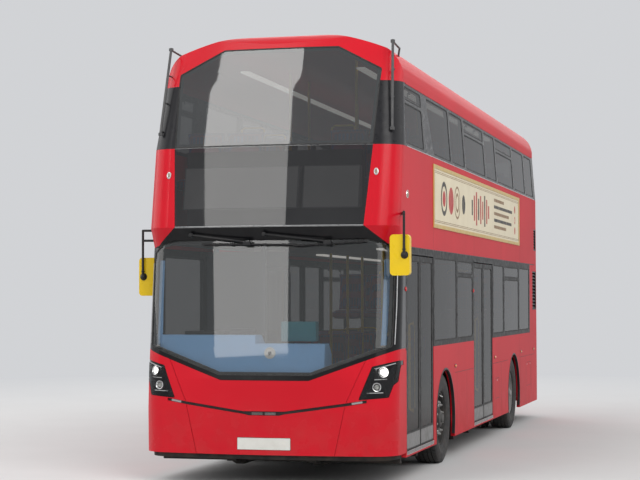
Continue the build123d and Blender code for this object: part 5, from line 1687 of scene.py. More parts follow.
@dataclass
class Windows:
    """Rubber seals, top-light frames and catches of every side window.

    The lower panes are fore and aft stations, the upper ones foot, head and aft, with any top light's height.
    """

    radius: float = 0.045
    seal: float = 0.013
    transom: float = 0.026
    lower_z: Flat = (1.32, 2.195)
    upper_z: Flat = (3.275, 3.845)
    driver: Pane = Pane(0.66, 0.66, 1.89, 1.17, 2.195)
    fore: tuple[tuple[float, ...], ...] = ((2.075, 3.38), (3.46, 4.48, 0.15))
    mid: tuple[tuple[float, ...], ...] = ((4.57, 5.25), (5.33, 5.96))
    aft: tuple[tuple[float, ...], ...] = ((6.09, 6.96), (7.05, 8.38, 0.15), (8.47, 9.48))
    upper: tuple[tuple[float, ...], ...] = (
        (0.60, 0.72, 1.54, 0.14), (2.08, 1.80, 3.08), (3.16, 3.16, 4.00), (4.09, 4.09, 5.50, 0.14),
        (5.59, 5.59, 6.42), (6.51, 6.51, 7.96, 0.14), (8.05, 8.05, 9.14), (9.23, 9.23, 10.02),
    )

    def top_light(self, pane: Pane, outline: list[Flat], side: int, frames: Build, catches: Build) -> None:
        """Add the inner rim and the catches of one top light.

        Args:
            pane: Pane it is in.
            outline: Its outline.
            side: 1 nearside, -1 offside.
            frames: Build for the rim.
            catches: Build for the catches.
        """
        tidy = inset(outline, 0.0006)
        top = outline[2][1]
        small = min(self.radius, 0.4 * (top - outline[0][1])) - self.seal
        outer = rounded(inset(tidy, self.seal + 0.001), max(0.008, small - 0.001), 4)
        inner = rounded(inset(tidy, self.seal + 0.010), max(0.006, small - 0.008), 4)
        frames.band(laid(outer, side, -0.0040), laid(inner, side, -0.0046), (-side * 0.0008, 0, 0))
        x = flank_x(top - 0.03) - 0.030
        for offset in (-0.30, 0.30) if pane.aft - pane.foot > 1.1 else (0.0,):
            y = SIZES.y((outline[0][0] + outline[1][0]) / 2 + offset)
            catches.lump((side * x, y, top - 0.0335), 0.008, 0.028, 0.0115, 0.004)
            catches.lump((side * (x - 0.016), y, top - 0.0525), 0.004, 0.006, 0.0225, 0.002)

    def seals(self, side: int) -> None:
        """Lay a rubber seal round every pane of one flank, deck by deck.

        Args:
            side: 1 nearside, -1 offside.
        """
        places = self.fore + (self.mid if side < 0 else ()) + self.aft
        lower = [self.driver] if side < 0 else []
        lower += [Pane(s0, s0, s1, *self.lower_z, *top) for s0, s1, *top in places]
        upper = [Pane(s0, s1, s2, *self.upper_z, *top) for s0, s1, s2, *top in self.upper]
        for deck, panes in (("lower", lower), ("upper", upper)):
            rubber, frames, catches = Build(), Build(), Build()
            for pane in panes:
                for k, outline in enumerate(pane.split(self.transom)):
                    tidy = inset(outline, 0.0006)
                    reach = min(self.radius, 0.4 * (outline[-1][1] - outline[0][1]))
                    outer = rounded(tidy, reach, 5)
                    inner = rounded(inset(tidy, self.seal), max(0.008, reach - self.seal), 5)
                    rubber.band(laid(outer, side, -0.0008), laid(inner, side, -0.0022), (-side * 0.0035, 0, 0))
                    if k:
                        self.top_light(pane, outline, side, frames, catches)
            rubber.finish(f"window_seals_{deck}_{WHERE[side]}", Finish.SEAL)
            frames.finish(f"top_light_rims_{deck}_{WHERE[side]}", Finish.SATIN_BLACK)
            catches.polish(f"top_light_catches_{deck}_{WHERE[side]}", Finish.SATIN_BLACK)

    def build(self) -> None:
        """Build the seals of both flanks and dress glass and frames."""
        for side in SIDES:
            self.seals(side)
        glaze(NODES["lower_side_glass"], Finish.SIDE_GLASS)
        glaze(NODES["upper_side_glass"], Finish.SIDE_GLASS)
        dress(NODES["lower_window_frames"], Finish.CHARCOAL)
        dress(NODES["upper_window_frames"], Finish.PILLAR)
        log.info("windows: seals, top lights and catches")


@dataclass(frozen=True)
class FlankPlan:
    """Where the joints, hatches, locks and marker lamps of one flank lie, as stations and heights."""

    levels: tuple[Flat, ...]
    uprights: tuple[float, ...]
    over_joint: tuple[float, ...]
    hatches: tuple[tuple[float, ...], ...]
    locks: tuple[Flat, ...]
    markers: tuple[float, ...]


@dataclass
class Flanks:
    """Panel joints, hatches, arch lips, gutters, repeaters and reflectors of the sides."""

    arch_r: float = 0.545
    arch_z: float = 0.46
    skirt: float = 0.245
    joint_z: float = 0.945
    seam: float = 0.0045
    marker_z: float = 1.02
    lip: tuple[Flat, ...] = (
        (-0.004, -0.030), (-0.004, 0.002), (0.002, 0.0045), (0.014, 0.0035),
        (0.018, 0.0004), (0.0, -0.002), (-0.001, -0.030),
    )
    near: FlankPlan = FlankPlan(
        ((3.27, 4.53), (6.04, 7.34), (8.46, 10.02)),
        (3.40, 4.05, 6.06, 6.72, 8.52, 9.10, 9.70),
        (8.43, 10.02),
        ((6.38, 0.62, 0.34, 0.26), (9.40, 0.68, 0.42, 0.34)),
        ((6.38, 0.72), (9.24, 0.82), (9.56, 0.82)),
        (3.30, 6.20, 8.62, 9.95),
    )
    off: FlankPlan = FlankPlan(
        ((0.60, 2.13), (3.27, 7.34), (8.46, 10.02)),
        (0.62, 1.30, 3.40, 4.15, 4.90, 5.65, 6.40, 8.52, 9.10, 9.70),
        (2.06, 6.05, 8.43, 10.02),
        ((9.40, 0.68, 0.42, 0.34), (4.52, 0.60, 0.40, 0.30), (5.27, 0.60, 0.40, 0.30)),
        ((9.24, 0.82), (9.56, 0.82), (4.38, 0.72), (4.66, 0.72), (5.13, 0.72), (5.41, 0.72)),
        (1.20, 3.50, 5.00, 6.60, 8.62, 9.95),
    )

    def arch(self, side: int, station: float, name: str) -> None:
        """Rubber lip round the wheel arch over one axle's station.

        Args:
            side: 1 nearside, -1 offside.
            station: Station of the axle.
            name: Start of the piece's name.
        """
        start = math.asin((self.arch_z - self.skirt) / self.arch_r)
        angles = [math.pi + start - (math.pi + 2 * start) * k / 60 for k in range(61)]
        angles = [a for a in angles if self.arch_z + (self.arch_r + 0.01) * math.sin(a) > self.skirt + 0.004]
        verts: list[Point] = []
        for a in angles:
            for out, proud in self.lip:
                r = self.arch_r + out
                verts.append(flank(station + r * math.cos(a), self.arch_z + r * math.sin(a), side, proud))
        Build().add(verts, hull(len(angles), len(self.lip))).polish(name + WHERE[side], Finish.SATIN_BLACK)

    def panel_joints(self, side: int, plan: FlankPlan) -> None:
        """Dark joint lines of the skirt panels, hatches and the deck joint, and the hatches' locks.

        Args:
            side: 1 nearside, -1 offside.
            plan: Places of the flank's fittings.
        """
        z = self.joint_z
        lines = [[(a, z), (b, z)] for a, b in plan.levels]
        lines += [[(s, self.skirt + 0.004), (s, z)] for s in plan.uprights]
        lines += [[(s, z), (s, 1.265)] for s in plan.over_joint] + [[(9.84, 1.275), (9.84, 2.262)]]
        seams, hatches, locks = Build(), Build(), Build()
        for line in lines:
            seams.join(flank_strip(side, line, self.seam, 0.0003, 0.001))
        for s, z1 in ((2.02, 3.238), (4.60, 2.505), (6.75, 2.505), (8.50, 3.238)):
            seams.join(flank_strip(side, [(s, 2.282), (s, z1)], 0.0035, 0.0003, 0.001))
        seams.finish("panel_joints_" + WHERE[side], Finish.SEAL)
        for hatch in plan.hatches:
            outer, inner = rounded(box(*hatch), 0.018, 5), rounded(inset(box(*hatch), self.seam), 0.014, 5)
            hatches.band(laid(outer, side, 0.0003), laid(inner, side, 0.0003), (-side * 0.001, 0, 0))
        hatches.finish("hatch_joints_" + WHERE[side], Finish.SEAL)
        lock = [(-0.001, TIP), (-0.001, 0.011), (0.0012, 0.0105), (0.0008, 0.0085), (0.0008, TIP)]
        for s, z in plan.locks:
            locks.turn([(side * along, r) for along, r in lock], flank(s, z, side), "X", 24)
        locks.polish("hatch_locks_" + WHERE[side], Finish.STEEL)

    def gutters(self, side: int) -> None:
        """Rain gutters, the rubbing strip at the deck joint and the silver sill line.

        Args:
            side: 1 nearside, -1 offside.
        """
        for name, s0, s1, z, width, proud, thick, finish in (
            ("deck_gutter_", 0.62, 10.05, 2.2695, 0.010, 0.0032, 0.006, Finish.SATIN_BLACK),
            ("upper_sill_line_", 0.66, 10.10, 3.2475, 0.007, 0.0022, 0.004, Finish.ALUMINIUM),
            ("roof_gutter_", 0.80, 10.12, 3.8765, 0.009, 0.0040, 0.007, Finish.ROOF_RED),
        ):
            flank_strip(side, [(s0, z), (s1, z)], width, proud, thick).finish(name + WHERE[side], finish)

    def lamps(self, side: int, plan: FlankPlan) -> None:
        """Amber repeaters, side markers and the round lamp over the doorway.

        Args:
            side: 1 nearside, -1 offside.
            plan: Places of the flank's fittings.
        """
        lens, base = Build(), Build()
        for s in plan.markers:
            edge = box(s, self.marker_z, 0.094, 0.038)
            base.slab(laid(rounded(edge, 0.012, 5), side, 0.0005), (side * 0.004, 0, 0))
            inner, top = rounded(inset(edge, 0.006), 0.008, 5), rounded(inset(edge, 0.011), 0.006, 5)
            lens.add(laid(inner, side, 0.0042) + laid(top, side, 0.0100), hull(2, len(inner)))
        base.finish("side_marker_bases_" + WHERE[side], Finish.SATIN_BLACK)
        lens.polish("side_markers_" + WHERE[side], Finish.AMBER)
        for name, profile, finish in (
            ("doorway_lamp_", dome(0.0, 0.034, 0.003, 0.012, 0.032, 6), Finish.SIDELAMP if side > 0 else Finish.AMBER),
            ("doorway_lamp_rim_", [(0.0, 0.034), (0.005, 0.035), (0.006, 0.039), (0.0, 0.041)], Finish.REFLECTOR),
        ):
            profile = [(side * along, r) for along, r in profile]
            Build().turn(profile, flank(0.66, 2.78, side), "X", 40).polish(name + WHERE[side], finish)

    def filler(self) -> None:
        """Round fuel cover on the offside and its lock."""
        cover = [(0.0, TIP), (-0.003, TIP), (-0.0035, 0.052), (-0.002, 0.060), (0.0, 0.061)]
        Build().turn(cover, flank(8.98, 0.62, -1), "X", 48).polish("fuel_cover", Finish.RED)
        lock = [(0.0, TIP), (-0.0045, TIP), (-0.0045, 0.009), (-0.003, 0.010), (0.0, 0.010)]
        Build().turn(lock, flank(8.98, 0.585, -1), "X", 24).polish("fuel_cover_lock", Finish.STEEL)

    def build(self) -> None:
        """Build both flanks and dress their panels."""
        for side, plan in zip(SIDES, (self.near, self.off)):
            self.arch(side, SIZES.front_axle, "front_arch_lip_")
            self.arch(side, SIZES.rear_axle, "rear_arch_lip_")
            self.panel_joints(side, plan)
            self.gutters(side)
            self.lamps(side, plan)
        self.filler()
        dress(NODES["upper_side_panels"], Finish.RED)
        dress(NODES["engine_louvres"], Finish.SATIN_BLACK)
        log.info("flanks: joints, arches, gutters and lamps")


@dataclass
class Doors:
    """Leaves of both doorways: dark frames, glass, seals, kick panels, rails and sills."""

    outer_x: float = 1.256
    thick: float = 0.040
    rail: float = 0.050
    kick: float = 0.170
    foot: float = 0.302
    head: float = 2.190
    glass_x: Flat = (1.2395, 1.2505)
    grab_z: Flat = (0.66, 1.52)
    bends: tuple[Flat, ...] = ((0.001, 0.0), (0.022, 0.002), (0.036, 0.012), (0.040, 0.034))

    def paint_leaf(self, node: Object) -> None:
        """Give a leaf its frame finish and its pane the door glass.

        Args:
            node: Node of the leaf.
        """

        def glass(face: bpy.types.MeshPolygon) -> int:
            """Pick the finish of a face.

            Args:
                face: Face to look at.

            Returns:
                Number of its finish.
            """
            low, high = face_xs(node, face)
            inside = low > self.glass_x[0] and high < self.glass_x[1]
            return (1 if face.normal.x > 0 else 2) if inside else 0

        dress(node, Finish.CHARCOAL, Finish.DOOR_GLASS, Finish.INNER_FACE, pick=glass)

    def leaf(self, node: str, body: Body, s0: float, s1: float) -> None:
        """Seals, pane gasket, kick panel and grab rail of one leaf.

        Args:
            node: Its node.
            body: Body it rides on.
            s0: Fore edge.
            s1: Aft edge.
        """
        self.paint_leaf(NODES[node])
        x, foot, head = self.outer_x, self.foot, self.head
        glass = span(s0 + self.rail, s1 - self.rail, foot + self.kick, head - self.rail)
        edges = upright(inset(glass, 0.0005), x - 0.0008), upright(inset(glass, 0.011), x - 0.0030)
        Build().band(*edges, (-0.0026, 0, 0)).finish(node + "_gasket", Finish.SEAL, body)
        kick = rounded(span(s0 + 0.020, s1 - 0.020, foot + 0.018, foot + self.kick - 0.012), 0.010, 4)
        Build().slab(upright(kick, x + 0.0001), (0.0012, 0, 0)).finish(node + "_kick", Finish.KICK, body)
        brush, seals, rail = Build(), Build(), Build()
        for z in (foot - 0.0005, foot - 0.0045):
            brush.block((x - 0.028, SIZES.y(s0 + 0.012), z - 0.004), (x - 0.012, SIZES.y(s1 - 0.012), z), 0.001)
        brush.finish(node + "_foot_brush", Finish.SEAL, body)
        bulge = ((0.0, -0.014), (0.0055, -0.013), (0.0070, -0.009), (0.0070, 0.001), (0.0055, 0.006), (0.0, 0.007))
        for s, way in ((s0, -1), (s1, 1)):
            loop = [(x - self.thick / 2 + dx, SIZES.y(s) + way * dy) for dy, dx in bulge]
            verts = [(a, b, z) for z in (foot + 0.004, head - 0.004) for a, b in loop]
            seals.add(verts, hull(2, len(loop)))
        seals.finish(node + "_edge_seals", Finish.SEAL, body)
        y = SIZES.y((s0 + s1) / 2 + (0.20 if node.endswith("fore") else -0.20))
        inside, (z0, z1) = x - self.thick, self.grab_z
        path = [(inside - out, y, z0 + up) for out, up in self.bends]
        rail.tube(path + [(inside - out, y, z1 - up) for out, up in reversed(self.bends)], 0.0125, 14)
        for z in self.grab_z:
            rose = [(0.0, TIP), (0.0, 0.022), (-0.004, 0.022), (-0.006, 0.015), (-0.006, TIP)]
            rail.turn(rose, (inside, y, z), "X", 24)
        rail.polish(node + "_grab_rail", Finish.POLE, body)

    def sill(self, name: str, s0: float, s1: float) -> None:
        """Silver tread edge, its black insert, the drip rail and the button of one doorway.

        Args:
            name: Doorway's name.
            s0: Fore post.
            s1: Aft post.
        """
        plate = Build().block((1.2604, SIZES.y(s0 + 0.01), 0.262), (1.2634, SIZES.y(s1 - 0.01), 0.2985), 0.001)
        plate.finish(name + "_sill_plate", Finish.ALUMINIUM)
        grip = Build()
        for k in range(4):
            z = 0.268 + 0.0075 * k
            grip.block((1.2632, SIZES.y(s0 + 0.02), z), (1.2640, SIZES.y(s1 - 0.02), z + 0.003))
        grip.finish(name + "_sill_grip", Finish.SATIN_BLACK)
        button = [(0.0, TIP), (0.0, 0.024), (0.004, 0.023), (0.006, 0.018), (0.010, 0.016), (0.011, TIP)]
        button = Build().turn(button, (1.2602, SIZES.y(s0 - 0.028), 1.86), "X", 32)
        button.polish(name + "_door_button", Finish.RED_LENS)
        header = Build().block((1.2604, SIZES.y(s0 + 0.02), 2.206), (1.2655, SIZES.y(s1 - 0.02), 2.214), 0.002)
        header.finish(name + "_drip_rail", Finish.SATIN_BLACK)

    def build(self) -> None:
        """Build all four leaves and both sills."""
        self.leaf("entrance_leaf_fore", Body.ENTRANCE_FORE, 0.608, 1.292)
        self.leaf("entrance_leaf_aft", Body.ENTRANCE_AFT, 1.308, 1.992)
        self.leaf("exit_leaf_fore", Body.EXIT_FORE, 4.568, 5.277)
        self.leaf("exit_leaf_aft", Body.EXIT_AFT, 5.293, 6.002)
        self.sill("entrance", 0.600, 2.000)
        self.sill("exit", 4.560, 6.010)
        dress(NODES["door_posts"], Finish.CHARCOAL)
        log.info("doors: four leaves and two sills")


@dataclass
class Poster:
    """Gold-framed cream sheet with a generic print of bars, discs and rules."""

    fore: float = 2.0
    aft: float = 8.45
    low: float = 2.51
    high: float = 3.176
    rim: float = 0.040
    sheet_x: float = 1.264
    lift: float = 0.0006
    sunk: float = 0.0002
    middle: float = 2.843
    heights: tuple[float, ...] = (0.18, 0.30, 0.40, 0.26, 0.34, 0.22, 0.38, 0.30, 0.16)
    rules: tuple[float, ...] = (1.05, 1.55, 1.30, 1.60, 0.85)

    def paint(self) -> None:
        """Gold on the rim, cream on the sheet."""
        node = NODES["poster_frame"]

        def sheet(face: bpy.types.MeshPolygon) -> bool:
            """Tell whether a face belongs to the sheet.

            Args:
                face: Face to look at.

            Returns:
                True for the sheet.
            """
            z, s = face.center.z, face.center.y + SIZES.length / 2
            tall = self.low + self.rim - 0.002 < z < self.high - self.rim + 0.002
            long = self.fore + self.rim < s < self.aft - self.rim
            return tall and long and max(map(abs, face_xs(node, face))) < self.sheet_x + 0.0004

        dress(node, Finish.GOLD, Finish.SHEET, pick=sheet)

    def print_on(self, side: int) -> None:
        """Lay out the print on one side.

        Args:
            side: 1 nearside, -1 offside.
        """
        red, black, brown = Build(), Build(), Build()
        x0, x1 = sorted((side * (self.sheet_x - self.sunk), side * (self.sheet_x + self.lift)))

        def bar(build: Build, s0: float, s1: float, z0: float, z1: float) -> None:
            """Add one printed bar to a build."""
            build.block((x0, SIZES.y(s0), z0), (x1, SIZES.y(s1), z1))

        def disc(build: Build, s: float, z: float, r: float, hole: float = 0.0005) -> None:
            """Add one printed disc or ring.

            Args:
                build: Build to add to.
                s: Station of its middle.
                z: Height of its middle.
                r: Outer radius.
                hole: Inner radius.
            """
            face, back = side * self.lift, -side * self.sunk
            ring = [(back, hole), (face, hole), (face, r), (back, r)]
            build.turn(ring, (side * self.sheet_x, SIZES.y(s), z), "X", 64)

        low, high, line = self.low + self.rim, self.high - self.rim, 0.006
        for gap in (0.022, 0.038):
            s0, s1 = self.fore + self.rim + gap, self.aft - self.rim - gap
            z0, z1 = low + gap, high - gap
            bar(brown, s0, s1, z0, z0 + line)
            bar(brown, s0, s1, z1 - line, z1)
            bar(brown, s0, s0 + line, z0, z1)
            bar(brown, s1 - line, s1, z0, z1)
        for k, h in enumerate(self.heights):
            s, mid = 4.42 + 0.155 * k, (low + high) / 2
            bar(red if k % 3 else black, s, s + 0.085, mid - h / 2, mid + h / 2)
        for build, s, r, hole in (
            (black, 2.62, 0.185, 0.135), (red, 3.05, 0.150, 0.0005), (brown, 3.44, 0.185, 0.160),
            (black, 3.86, 0.110, 0.0005), (red, 2.62, 0.085, 0.0005), (brown, 3.44, 0.110, 0.075),
        ):
            disc(build, s, self.middle, r, hole)
        for k, run in enumerate(self.rules):
            z = 2.665 + 0.085 * k
            bar(black if k in (1, 3) else brown, 6.15, 6.15 + run, z, z + 0.040)
        for k, hole in enumerate((0.0005, 0.030, 0.0005)):
            disc(red, 8.02, 2.70 + 0.145 * k, 0.052, hole)
        red.finish("poster_red_" + WHERE[side], Finish.PRINT_RED)
        black.finish("poster_black_" + WHERE[side], Finish.PRINT_BLACK)
        brown.finish("poster_brown_" + WHERE[side], Finish.PRINT_BROWN)

    def fixings(self, side: int) -> None:
        """Screws along the gold rim.

        Args:
            side: 1 nearside, -1 offside.
        """
        screws = Build()
        head = [(-side * 0.002, TIP), (-side * 0.002, 0.0065), (-side * 0.0005, 0.006), (-side * 0.0001, TIP)]
        for k in range(15):
            s = self.fore + 0.14 + (self.aft - self.fore - 0.28) * k / 14
            for z in (self.low + self.rim / 2, self.high - self.rim / 2):
                screws.turn(head, (side * 1.2702, SIZES.y(s), z), "X", 12)
        screws.polish("poster_screws_" + WHERE[side], Finish.STEEL)

    def build(self) -> None:
        """Print every framed side."""
        self.paint()
        low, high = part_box("poster_frame")
        for side in SIDES:
            if (high[0] if side > 0 else -low[0]) > 1.2:
                self.print_on(side)
                self.fixings(side)
        log.info("poster: frame and generic print")


# Roof and tail


def tail_point(x: float, z: float, proud: float = 0.0) -> Vector:
    """Point on the bowed tail at an x and a height, moved out backwards.

    Args:
        x: Across the bus.
        z: Height.
        proud: Distance behind the skin.

    Returns:
        The point.
    """
    table = (
        (0.245, 0.0), (0.7, 0.0), (1.0, 0.005), (2.27, 0.030),
        (2.46, 0.035), (3.243, 0.060), (3.87, 0.095), (4.475, 0.146),
    )
    forward = table[-1][1]
    for (z0, f0), (z1, f1) in zip(table, table[1:]):
        if z <= z1:
            forward = f0 + (f1 - f0) * (z - z0) / (z1 - z0)
            break
    return Vector((x, SIZES.length / 2 - forward - 0.025 * (x / 1.08) ** 2 + proud, z))


def on_tail(outline: Sequence[Flat], proud: float) -> list[Point]:
    """An outline of (x, z) laid on the tail, raised over its skin."""
    return [tuple(tail_point(x, z, proud)) for x, z in outline]


def line_inside(name: str) -> None:
    """Dress a panel node in red, its inward faces in lining, or the dark underside finish in the engine bay.

    Args:
        name: Name of the node.
    """

    def inward(face: bpy.types.MeshPolygon) -> int:
        """Pick the finish of a face.

        Args:
            face: Face to look at.

        Returns:
            Number of its finish.
        """
        middle, normal = face.center, face.normal
        if normal.x * math.copysign(1.0, middle.x) < -0.5 or (middle.y > 4.9 and normal.y < -0.5):
            return 2 if middle.y > SIZES.y(8.9) else 1
        return 0

    dress(NODES[name], Finish.RED, Finish.LINING, Finish.UNDERSIDE, pick=inward)


@dataclass
class Tail:
    """Round lamps, blank plate, reflectors, flap catches and the blank display of the back."""

    lamp_x: float = 1.075
    lamp_z: tuple[float, ...] = (1.150, 1.000, 0.850, 0.690)
    lamp_r: float = 0.058
    plate: tuple[float, float, float] = (0.52, 0.111, 1.405)
    tray_z: float = 0.304
    tray_rim: float = 0.05
    tray_thick: float = 0.003

    def lamps(self, side: int) -> None:
        """Four round lamps in one column, a low reflector and a high marker of one side.

        Args:
            side: 1 nearside, -1 offside.
        """
        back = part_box("tail_lamps")[1][1]
        kinds = (Finish.AMBER, Finish.RED_LENS, Finish.RED_LENS, Finish.CLEAR_LENS)
        rims, r = Build(), self.lamp_r
        for k, (z, finish) in enumerate(zip(self.lamp_z, kinds)):
            at = (side * self.lamp_x, back - 0.001, z)
            lens = Build().turn(dome(0.0, r, 0.002, 0.009, r * 0.985, 7), at, "Y", 48)
            lens.polish(f"tail_lens_{k}_{WHERE[side]}", finish)
            rims.turn([(0.0, r), (0.004, r + 0.0005), (0.0045, r + 0.004), (0.0, r + 0.0055)], at, "Y", 48)
        rims.polish("tail_lens_rims_" + WHERE[side], Finish.REFLECTOR)
        for name, x, z, w, h in (
            ("low_reflector_", 0.98, 0.470, 0.110, 0.034), ("high_marker_", 0.80, 3.985, 0.085, 0.030)
        ):
            loop = rounded(box(side * x, z, w, h), 0.010, 5)
            Build().slab(on_tail(loop, 0.0), (0, 0.005, 0)).finish(name + WHERE[side], Finish.RED_LENS)

    def display(self) -> None:
        """Blank display in a black surround over the flap, high stop lamp, and plate with its lamps."""
        edge = box(0.0, 2.02, 0.62, 0.20)
        outer, inner = rounded(edge, 0.025, 6), rounded(inset(edge, 0.022), 0.012, 6)
        rim = Build().band(on_tail(outer, 0.0005), on_tail(inner, 0.0025), (0, -0.004, 0))
        rim.finish("tail_display_rim", Finish.SATIN_BLACK)
        Build().slab(on_tail(inner, -0.001), (0, 0.0018, 0)).finish("tail_display_glass", Finish.DARK_GLASS)
        stop = rounded(box(0.0, 3.19, 0.34, 0.03), 0.010, 5)
        Build().slab(on_tail(stop, 0.0), (0, 0.006, 0)).finish("high_stop_lamp", Finish.RED_LENS)
        w, h, z = self.plate
        plate = [(a, tail_point(w / 2, b).y + 0.002, b) for a, b in rounded(box(0.0, z, w, h), 0.008, 4)]
        Build().slab(plate, (0, 0.004, 0)).finish("rear_plate", Finish.PLATE_YELLOW)
        lamps = Build()
        for x in (-0.13, 0.13):
            at = tail_point(x, z + h / 2 + 0.028, 0.006)
            lamps.lump(at, 0.035, 0.008, 0.012, 0.005)
        lamps.polish("rear_plate_lamps", Finish.SATIN_BLACK)

    def flap(self) -> None:
        """Grille slots, catches and pull of the engine flap, which ride on it."""
        slats, catches, steps = Build(), Build(), 6
        for z in (0.96 + 0.032 * k for k in range(9)):
            for x0, x1 in ((-0.62, -0.04), (0.04, 0.62)):
                for i in range(steps):
                    a, b = x0 + (x1 - x0) * i / steps, x0 + (x1 - x0) * (i + 1) / steps
                    y = min(tail_point(a, z).y, tail_point(b, z).y)
                    slats.block((a, y - 0.003, z - 0.0085), (b, y + 0.0015, z + 0.0085))
        slats.finish("engine_flap_slots", Finish.SATIN_BLACK, Body.FLAP)
        rose = [(-0.001, TIP), (-0.001, 0.030), (0.0025, 0.029), (0.003, 0.022), (0.001, 0.020), (0.001, TIP)]
        for x in (-0.74, 0.74):
            at = tail_point(x, 0.55)
            catches.turn(rose, at, "Y", 32)
            catches.block((x - 0.018, at.y - 0.001, at.z - 0.005), (x + 0.018, at.y + 0.004, at.z + 0.005), 0.002)
        y = tail_point(0.0, 0.56).y
        catches.block((-0.11, y - 0.001, 0.545), (0.11, y + 0.003, 0.585), 0.003)
        catches.polish("engine_flap_catches", Finish.STEEL, Body.FLAP)
        grip = Build().block((-0.095, y + 0.0025, 0.552), (0.095, y + 0.0045, 0.572), 0.001)
        grip.finish("engine_flap_pull", Finish.SATIN_BLACK, Body.FLAP)

    def bay_tray(self, where: str, across: Flat, along: Flat) -> None:
        """Pressed tray in the floor of the engine bay.

        Args:
            where: End of its name.
            across: Its lowest and highest X.
            along: Its first and last station.
        """

        def marks(low: float, high: float) -> list[float]:
            """Places of the grid lines across the tray.

            Args:
                low: First edge.
                high: Last edge.

            Returns:
                The places.
            """
            count = max(2, round((high - low) / 0.045))
            inner = [low + 0.02 + (high - low - 0.04) * k / count for k in range(count + 1)]
            return [low, low + 0.008, *inner, high - 0.008, high]

        xs, ys = marks(*across), marks(SIZES.y(along[0]), SIZES.y(along[1]))

        def level(i: int, j: int) -> float:
            """Height of the tray's underside at a grid point.

            Args:
                i: Its number along X.
                j: Its number along Y.

            Returns:
                The height.
            """
            edge = min(i, j, len(xs) - 1 - i, len(ys) - 1 - j)
            rib = 0.007 if edge > 3 and i % 4 < 2 else 0.0
            return self.tray_z + (self.tray_rim, self.tray_rim * 0.9, 0.0)[min(edge, 2)] + rib

        base = [(x, y, level(i, j)) for j, y in enumerate(ys) for i, x in enumerate(xs)]
        top = [(x, y, z + self.tray_thick) for x, y, z in base]
        Build().add(top + base, shell(len(ys), len(xs))).finish("bay_tray_" + where, Finish.UNDERSIDE)

    def build(self) -> None:
        """Build the back and dress its panels."""
        for side in SIDES:
            self.lamps(side)
        self.display()
        self.flap()
        dress(NODES["tail_lamps"], Finish.SATIN_BLACK)
        for name in ("tail_upper_panel", "engine_flap"):
            dress(NODES[name], Finish.RED)
        for name in ("tail_lower_panel", "lower_side_panels"):
            line_inside(name)
        self.bay_tray("near", (0.50, 1.16), (8.97, 10.09))
        self.bay_tray("off", (-1.16, -0.50), (8.97, 10.09))
        self.bay_tray("rear", (-1.16, 1.16), (10.12, 10.29))
        dress(NODES["engine_block"], Finish.CAST)
        log.info("tail: lamps, display, plate and flap")


@dataclass
class Roof:
    """Roof skin, and the tree guards at the front corners with their feet as (x, station, z)."""

    feet: tuple[tuple[float, float, float], ...] = ((1.172, 0.392, 3.402), (1.135, 0.598, 4.270))

    def build(self) -> None:
        """Dress the roof and the guards, and add the guards' feet."""
        dress(NODES["roof"], Finish.ROOF_RED)
        dress(NODES["branch_guards"], Finish.GUARD)
        feet = Build()
        for side in SIDES:
            for x, s, z in self.feet:
                feet.lump((side * x, SIZES.y(s), z - 0.005), 0.020, 0.015, 0.015, 0.004)
        feet.polish("guard_feet", Finish.GUARD)
        log.info("roof: skin and guards")


# Inside


